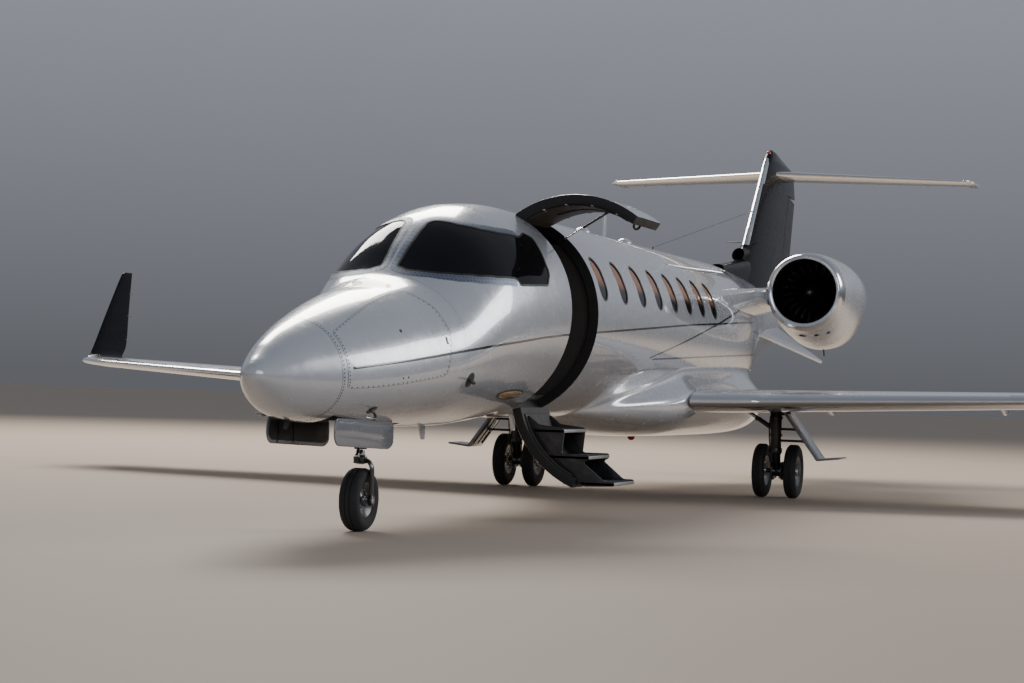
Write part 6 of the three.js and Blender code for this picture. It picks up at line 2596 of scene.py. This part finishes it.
def build_antennas():
    """Antennas and domes on the crown and belly, the wire to the fin, the fin's fittings and the beacons."""
    blades = (
        ("crown_antenna", 8080, 90, 130, 240, 18, 26, "white_paint"),
        ("nose_antenna", 712, -90, 84, 60, 12, -22, "dark_trim"),
        ("belly_antenna_front", 3200, -90, 130, 110, 12, 60, "white_paint"),
        ("belly_antenna_rear", 5400, -90, 150, 120, 12, 60, "white_paint"),
    )
    for name, station, angle, *form in blades:
        fitting(name, seated(blade_antenna(name, *form), station, angle), slot="white_paint")
    for number, station in enumerate((7320, 8800), 1):
        cap = seated(flanged("dome", (96, 78, 62), "white_paint", "white_paint"), station, 90)
        fitting(f"crown_dome_{number}", cap, slot="white_paint")
    wire = [
        collar([(0, 9950, 2560), (0, 9962, 2622)], 11, "dark_metal", 16, 2),
        collar([(0, 9960, 2616), (0, 14826, 3424)], 3.5, "dark_metal", 8, 0),
        collar([(0, 14740, 3410), (0, 14830, 3425)], 9, "dark_trim", 12, 1.5),
    ]
    fitting("wire_antenna", join("wire", *wire), slot="bare_metal")

    def mouth(u, v):
        turn = 2 * math.pi * u
        station = 14060 + 560 * v + 60 * math.sin(turn) * (1 - v)
        return put((78 - 12 * v) * math.cos(turn), station, 2815 + 70 * v + (86 - 10 * v) * math.sin(turn))

    scoop = wear(sheet("scoop", 36, 12, mouth), "black_paint", "seal_rubber")
    walled(scoop, 7, 1)
    whiskers = [collar([(-285, 14700, 3010), (285, 14700, 3010)], 7, "dark_metal", 12, 2)]
    bullet = moved(dome("bullet", 235, 62, 66, "black_paint"), Matrix.Rotation(math.pi / 2, 4, "Z"))
    moved(bullet, Matrix.Translation(put(0, 15700, 4196)) @ Matrix.Rotation(0.55, 4, "X"))
    fitting("fin_fittings", join("fin_fittings", scoop, *whiskers, bullet), slot="black_paint")
    lamps = (
        ("fin_beacon", (0, 15720, 4256), (40, 34, 46), "lamp_red"),
        ("tail_lamp", (0, 17318, 4150), (24, 24, 24), "lamp_glass"),
        ("belly_beacon", (0, 9300, 604), (60, 44, -52), "lamp_red"),
    )
    for name, place, (long, wide, height), finish_name in lamps:
        lamp = flanged(name, (long, wide, abs(height)), finish_name)
        turn = Matrix.Rotation(math.pi if height < 0 else 0, 4, "Y") @ Matrix.Rotation(math.pi / 2, 4, "Z")
        fitting(name, moved(lamp, Matrix.Translation(put(*place)) @ turn), slot="glazing")


def build_wicks():
    """Static wicks on the rear edges of the winglets, the ailerons and the elevators."""

    def wicks(name, points, body):
        pieces = []
        for x, s, z in points:
            pieces.append(collar([(x, s - 26, z), (x, s + 22, z)], 4.5, "dark_metal", 10, 1))
            pieces.append(wear(bar("wick", [(x, s, z), (x, s + 110, z - 8)], 2.4, 1.2, 8), "seal_rubber"))
        fitting(name, join(name, *pieces), body, "bare_metal")

    rears = straight([(row[1], row[0], row[4]) for row in WINGLET])
    for side, word in SIDES:
        tips = [(side * rears(z)[0], rears(z)[1] - 6, z) for z in (1500, 1800, 2080)]
        wicks(f"winglet_wicks_{word}", tips, "airframe")
        edge = [(side * x, wing_row(x)[1] - 4, wing_row(x)[2]) for x in (4900, 5600, 6300)]
        wicks(f"aileron_wicks_{word}", edge, f"aileron_{word}")
        edge = [(side * x, straight(STABILIZER)(x)[1] - 4, STABILIZER_Z) for x in (1500, 1850, 2200)]
        wicks(f"elevator_wicks_{word}", edge, f"elevator_{word}")


def build_door_fittings():
    """Latch pins, the hook handle and the link rod inside the raised upper door."""
    inner = lambda s, angle, deep: (body_point(s, angle, deep) * 1000 + Vector((0, MIDSHIPS, 0)))
    pieces = []
    for s, way in ((DOOR_FRONT + 60, -1), (DOOR_REAR - 60, 1)):
        for angle in (4, 20, 36, 50):
            x, _, z = inner(s, angle, WALL - 4)
            pieces.append(collar([(x, s, z), (x, s + 46 * way, z)], 8, "chrome", 14, 2))
            guide = block("guide", (x - 15, x + 15), (s - 20, s + 20), (z - 15, z + 15), 4, 2)
            pieces.append(wear(guide, "dark_metal"))
    edge = inner(4700, DOOR_SPLIT + 7, WALL - 6)
    hook = [(0, -80, 0), (-40, -72, -6), (-60, -30, -10), (-60, 60, -10), (-40, 102, -6), (0, 110, 0)]
    line = [(edge.x + a, edge.y + b, edge.z + c) for a, b, c in hook]
    pieces.append(wear(hose("hook", line, 10, 12), "dark_trim"))
    link = [tuple(inner(4613, angle, WALL + 14)) for angle in (6, 20, 34, 50)]
    pieces.append(wear(hose("link", link, 7, 10), "dark_metal"))
    fittings = moved(join("latches", *pieces), hinge_turn(*UPPER_TURN))
    fitting("upper_door_latches", fittings, "upper_door", "bare_metal")


def build_cowl_vents():
    """The small vents low on each cowling's front and the drain mast under it."""
    pieces = []
    for degrees, aft, wide in ((-96, 250, 42), (-76, 260, 26), (-60, 330, 24)):
        turn = math.radians(degrees)
        half, _, drop = (float(value) for value in smooth(NACELLE)(aft))
        vent = dome("vent", wide, 30, 8, "seal_rubber")
        moved(vent, Matrix.Rotation(math.pi / 2 - turn, 4, "Y"))
        place = put(ENGINE[0] + math.cos(turn) * half, INLET + aft, ENGINE[1] + math.sin(turn) * drop)
        pieces.append(moved(vent, Matrix.Translation(place)))
    mast = [(ENGINE[0], INLET + 1300, ENGINE[1] - 610), (ENGINE[0], INLET + 1340, ENGINE[1] - 690)]
    pieces.append(collar(mast, 10, "dark_metal", 12, 2))
    vents = join("cowl_vents", *pieces)
    fitting("cowl_vents_right", mirrored(vents, "cowl_vents_right"))
    fitting("cowl_vents_left", vents)


# Stage

CAMERA_PLACE = (6.03, -21.35, 1.09)
CAMERA_TURNS = (18.68, 1.15, 1.82)
CAMERA_LENS = 76.08


def build_camera():
    """The camera at the photograph's place, with its turn, lift and lean."""
    yaw, pitch, lean = (math.radians(value) for value in CAMERA_TURNS)
    ahead = Vector((-math.sin(yaw) * math.cos(pitch), math.cos(yaw) * math.cos(pitch), math.sin(pitch)))
    level = Vector((math.cos(yaw), math.sin(yaw), 0))
    above = level.cross(ahead)
    right = math.cos(lean) * level + math.sin(lean) * above
    up = -math.sin(lean) * level + math.cos(lean) * above
    data = bpy.data.cameras.new("camera")
    data.lens = CAMERA_LENS
    data.clip_end = 400
    camera = bpy.data.objects.new("camera", data)
    bpy.context.scene.collection.objects.link(camera)
    turn = Matrix((right, up, -ahead)).transposed().to_4x4()
    camera.matrix_world = Matrix.Translation(CAMERA_PLACE) @ turn
    bpy.context.scene.camera = camera


def soft_light(name, place, aim, size, power, colour=(1, 1, 1)):
    data = bpy.data.lights.new(name, "AREA")
    data.shape = "RECTANGLE"
    data.size, data.size_y = size
    data.energy, data.color = power, colour
    lamp = bpy.data.objects.new(name, data)
    bpy.context.scene.collection.objects.link(lamp)
    lamp.location = place
    lamp.rotation_euler = (Vector(aim) - Vector(place)).to_track_quat("-Z", "Y").to_euler()


def build_stage():
    """A pale floor, soft lights, an even sky and the camera."""
    start()
    bpy.ops.mesh.primitive_plane_add(size=240, location=(0, 0, -0.002))
    floor = named("floor")
    shade = Shade("floor_finish")
    spread = shade.noise(0.35, 5.0)
    shade.give(Base_Color=shade.mix(spread, (0.48, 0.39, 0.305), (0.53, 0.435, 0.345)), Roughness=0.75)
    floor.data.materials.append(shade.material)
    world = bpy.data.worlds.new("studio")
    bpy.context.scene.world = world
    world.use_nodes = True
    tree = world.node_tree
    back = tree.nodes["Background"]
    place = tree.nodes.new("ShaderNodeTexCoord")
    split = tree.nodes.new("ShaderNodeSeparateXYZ")
    ramp = tree.nodes.new("ShaderNodeValToRGB")
    tree.links.new(place.outputs["Generated"], split.inputs[0])
    tree.links.new(split.outputs["Z"], ramp.inputs[0])
    tree.links.new(ramp.outputs[0], back.inputs["Color"])
    elements = ramp.color_ramp.elements
    elements[0].position, elements[0].color = 0.0, (0.13, 0.135, 0.15, 1)
    elements[1].position, elements[1].color = 1.0, (0.2, 0.22, 0.26, 1)
    middle = elements.new(0.2)
    middle.color = (0.34, 0.36, 0.41, 1)
    back.inputs["Strength"].default_value = bpy.context.scene.jet_sizes.sky
    soft_light("key", (-12, 15, 18), (0, -1, 1.5), (14, 9), 7000, (1.0, 0.95, 0.88))
    soft_light("fill", (16, -20, 9), (0, -1, 1.5), (16, 9), 1000, (0.86, 0.92, 1.0))
    soft_light("rim", (17, 9, 9), (2, 1, 1.5), (12, 6), 1500)
    build_camera()


# Sizes and colours


def length_property(name, description, default):
    return bpy.props.FloatProperty(name=name, description=description, default=default, min=0, unit="LENGTH")


def colour_property(name, description, default):
    return bpy.props.FloatVectorProperty(
        name=name, description=description, default=default, subtype="COLOR", size=3, min=0, max=1
    )


class JetSizes(bpy.types.PropertyGroup):
    """Sizes of the jet's trim, seams and cushions, and the strength of the sky."""

    trim_line: length_property("Trim Line", "Half width of the black lines on the body", 0.009)
    rivet_pitch: length_property("Rivet Pitch", "Distance between the rivets of the nose panels", 0.054)
    voxel: length_property("Cushion Voxel", "Size of the voxels that cushions are remeshed to", 0.013)
    swell: length_property("Cushion Swell", "How far a point of a cushion may swell", 0.026)
    sky: bpy.props.FloatProperty(
        name="Sky", description="Strength of the even sky", default=0.9, min=0, subtype="FACTOR"
    )


class JetColours(bpy.types.PropertyGroup):
    """Colours of the jet's paint and cabin."""

    # Body enamel: a white darkened to grey-blue, partly the paint's pearl and partly painted shade.
    body: colour_property("Body", "Body enamel", (0.6, 0.62, 0.66))
    trim: colour_property("Trim", "Tail and trim line enamel", (0.006, 0.006, 0.008))
    grime: colour_property("Grime", "Dirt on the underside", (0.33, 0.3, 0.26))
    lining: colour_property("Lining", "Door and cabin lining", (0.52, 0.4, 0.27))
    leather: colour_property("Leather", "Seat leather", (0.5, 0.4, 0.28))


# Operators


class JET_OT_body(bpy.types.Operator):
    """Model the painted skins from the nose tip to the tail cone"""

    bl_idname = "jet.body"
    bl_label = "Body"

    def execute(self, context):
        build_body()
        return {"FINISHED"}


class JET_OT_glazing(bpy.types.Operator):
    """Model the windscreen and cabin panes with their rims and fasteners"""

    bl_idname = "jet.glazing"
    bl_label = "Glazing"

    def execute(self, context):
        build_glazing()
        return {"FINISHED"}


class JET_OT_entry_door(bpy.types.Operator):
    """Model both halves of the entry door and the steps on the lower one"""

    bl_idname = "jet.entry_door"
    bl_label = "Entry Door"

    def execute(self, context):
        build_entry_door()
        return {"FINISHED"}


class JET_OT_fairing(bpy.types.Operator):
    """Model the belly fairing that carries the wing roots"""

    bl_idname = "jet.fairing"
    bl_label = "Belly Fairing"

    def execute(self, context):
        build_fairing()
        return {"FINISHED"}


class JET_OT_wings(bpy.types.Operator):
    """Model the wings, ailerons, flaps, flap fairings and winglets"""

    bl_idname = "jet.wings"
    bl_label = "Wings"

    def execute(self, context):
        build_wings()
        return {"FINISHED"}


class JET_OT_fin(bpy.types.Operator):
    """Model the fin, its dorsal fillet and the rudder"""

    bl_idname = "jet.fin"
    bl_label = "Fin"

    def execute(self, context):
        build_fin()
        return {"FINISHED"}


class JET_OT_stabilizer(bpy.types.Operator):
    """Model the tailplane, its elevators and its tip caps"""

    bl_idname = "jet.stabilizer"
    bl_label = "Stabilizer"

    def execute(self, context):
        build_stabilizer()
        return {"FINISHED"}


class JET_OT_delta_fins(bpy.types.Operator):
    """Model the two fins under the tail"""

    bl_idname = "jet.delta_fins"
    bl_label = "Delta Fins"

    def execute(self, context):
        build_delta_fins()
        return {"FINISHED"}


class JET_OT_nacelles(bpy.types.Operator):
    """Model the engine cowlings with their lips, ducts and rivets"""

    bl_idname = "jet.nacelles"
    bl_label = "Nacelles"

    def execute(self, context):
        build_nacelles()
        return {"FINISHED"}


class JET_OT_engines(bpy.types.Operator):
    """Model the engine cores and the turning fans"""

    bl_idname = "jet.engines"
    bl_label = "Engines"

    def execute(self, context):
        build_engines()
        return {"FINISHED"}


class JET_OT_pylons(bpy.types.Operator):
    """Model the engine pylons"""

    bl_idname = "jet.pylons"
    bl_label = "Pylons"

    def execute(self, context):
        build_pylons()
        return {"FINISHED"}


class JET_OT_nose_gear(bpy.types.Operator):
    """Model the nose leg, its fork, wheel and doors"""

    bl_idname = "jet.nose_gear"
    bl_label = "Nose Gear"

    def execute(self, context):
        build_nose_gear()
        return {"FINISHED"}


class JET_OT_main_gear(bpy.types.Operator):
    """Model the main legs, wheels and leg doors"""

    bl_idname = "jet.main_gear"
    bl_label = "Main Gear"

    def execute(self, context):
        build_main_gear()
        return {"FINISHED"}


class JET_OT_baggage_door(bpy.types.Operator):
    """Model the baggage door with its latches and hinges"""

    bl_idname = "jet.baggage_door"
    bl_label = "Baggage Door"

    def execute(self, context):
        build_baggage_door()
        return {"FINISHED"}


class JET_OT_door_strut(bpy.types.Operator):
    """Model the gas strut of the upper entry door"""

    bl_idname = "jet.door_strut"
    bl_label = "Door Strut"

    def execute(self, context):
        build_door_strut()
        return {"FINISHED"}


class JET_OT_nose_fittings(bpy.types.Operator):
    """Model the nose's panel joints, rivets, ports, probes and lights"""

    bl_idname = "jet.nose_fittings"
    bl_label = "Nose Fittings"

    def execute(self, context):
        build_nose_fittings()
        return {"FINISHED"}


class JET_OT_antennas(bpy.types.Operator):
    """Model the antennas, domes, wire, fin fittings and beacons"""

    bl_idname = "jet.antennas"
    bl_label = "Antennas and Beacons"

    def execute(self, context):
        build_antennas()
        return {"FINISHED"}


class JET_OT_wicks(bpy.types.Operator):
    """Model the static wicks on the rear edges"""

    bl_idname = "jet.wicks"
    bl_label = "Static Wicks"

    def execute(self, context):
        build_wicks()
        return {"FINISHED"}


class JET_OT_door_fittings(bpy.types.Operator):
    """Model the latches and links inside the upper entry door"""

    bl_idname = "jet.door_fittings"
    bl_label = "Door Fittings"

    def execute(self, context):
        build_door_fittings()
        return {"FINISHED"}


class JET_OT_cowl_vents(bpy.types.Operator):
    """Model the vents and drains low on the cowlings"""

    bl_idname = "jet.cowl_vents"
    bl_label = "Cowl Vents"

    def execute(self, context):
        build_cowl_vents()
        return {"FINISHED"}


class JET_OT_flight_deck(bpy.types.Operator):
    """Model the instrument panel, pedestal and control yokes"""

    bl_idname = "jet.flight_deck"
    bl_label = "Flight Deck"

    def execute(self, context):
        build_flight_deck()
        return {"FINISHED"}


class JET_OT_cabin_fittings(bpy.types.Operator):
    """Finish the carpet, galley and partition, and model the tables"""

    bl_idname = "jet.cabin_fittings"
    bl_label = "Cabin Fittings"

    def execute(self, context):
        build_cabin_fittings()
        return {"FINISHED"}


class JET_OT_seats(bpy.types.Operator):
    """Model the pilots' and cabin seats with their swollen cushions"""

    bl_idname = "jet.seats"
    bl_label = "Seats"

    def execute(self, context):
        build_seats()
        return {"FINISHED"}


class JET_OT_stage(bpy.types.Operator):
    """Lay the pale floor, the soft lights, the sky and the camera"""

    bl_idname = "jet.stage"
    bl_label = "Stage"

    def execute(self, context):
        build_stage()
        return {"FINISHED"}


OPERATORS = [
    JET_OT_body,
    JET_OT_glazing,
    JET_OT_entry_door,
    JET_OT_fairing,
    JET_OT_wings,
    JET_OT_fin,
    JET_OT_stabilizer,
    JET_OT_delta_fins,
    JET_OT_nacelles,
    JET_OT_engines,
    JET_OT_pylons,
    JET_OT_nose_gear,
    JET_OT_main_gear,
    JET_OT_baggage_door,
    JET_OT_door_strut,
    JET_OT_nose_fittings,
    JET_OT_antennas,
    JET_OT_wicks,
    JET_OT_door_fittings,
    JET_OT_cowl_vents,
    JET_OT_flight_deck,
    JET_OT_cabin_fittings,
    JET_OT_seats,
    JET_OT_stage,
]


class JET_PT_sidebar(bpy.types.Panel):
    """The jet's operators, sizes and colours in the sidebar."""

    bl_idname = "JET_PT_sidebar"
    bl_label = "Business Jet"
    bl_space_type = "VIEW_3D"
    bl_region_type = "UI"
    bl_category = "Jet"

    def draw(self, context):
        for operator in OPERATORS:
            self.layout.operator(operator.bl_idname)
        for group in (context.scene.jet_sizes, context.scene.jet_colours):
            for name in group.__annotations__:
                self.layout.prop(group, name)


CLASSES = [JetSizes, JetColours, *OPERATORS, JET_PT_sidebar]


def register():
    for cls in CLASSES:
        bpy.utils.register_class(cls)
    bpy.types.Scene.jet_sizes = bpy.props.PointerProperty(type=JetSizes)
    bpy.types.Scene.jet_colours = bpy.props.PointerProperty(type=JetColours)


def unregister():
    del bpy.types.Scene.jet_colours
    del bpy.types.Scene.jet_sizes
    for cls in reversed(CLASSES):
        bpy.utils.unregister_class(cls)


def main():
    """Builds every piece in order."""
    register()
    bpy.ops.jet.body()
    bpy.ops.jet.glazing()
    bpy.ops.jet.entry_door()
    bpy.ops.jet.fairing()
    bpy.ops.jet.wings()
    bpy.ops.jet.fin()
    bpy.ops.jet.stabilizer()
    bpy.ops.jet.delta_fins()
    bpy.ops.jet.nacelles()
    bpy.ops.jet.engines()
    bpy.ops.jet.pylons()
    bpy.ops.jet.nose_gear()
    bpy.ops.jet.main_gear()
    bpy.ops.jet.baggage_door()
    bpy.ops.jet.door_strut()
    bpy.ops.jet.nose_fittings()
    bpy.ops.jet.antennas()
    bpy.ops.jet.wicks()
    bpy.ops.jet.door_fittings()
    bpy.ops.jet.cowl_vents()
    bpy.ops.jet.flight_deck()
    bpy.ops.jet.cabin_fittings()
    bpy.ops.jet.seats()
    bpy.ops.jet.stage()


if __name__ == "__main__":
    main()
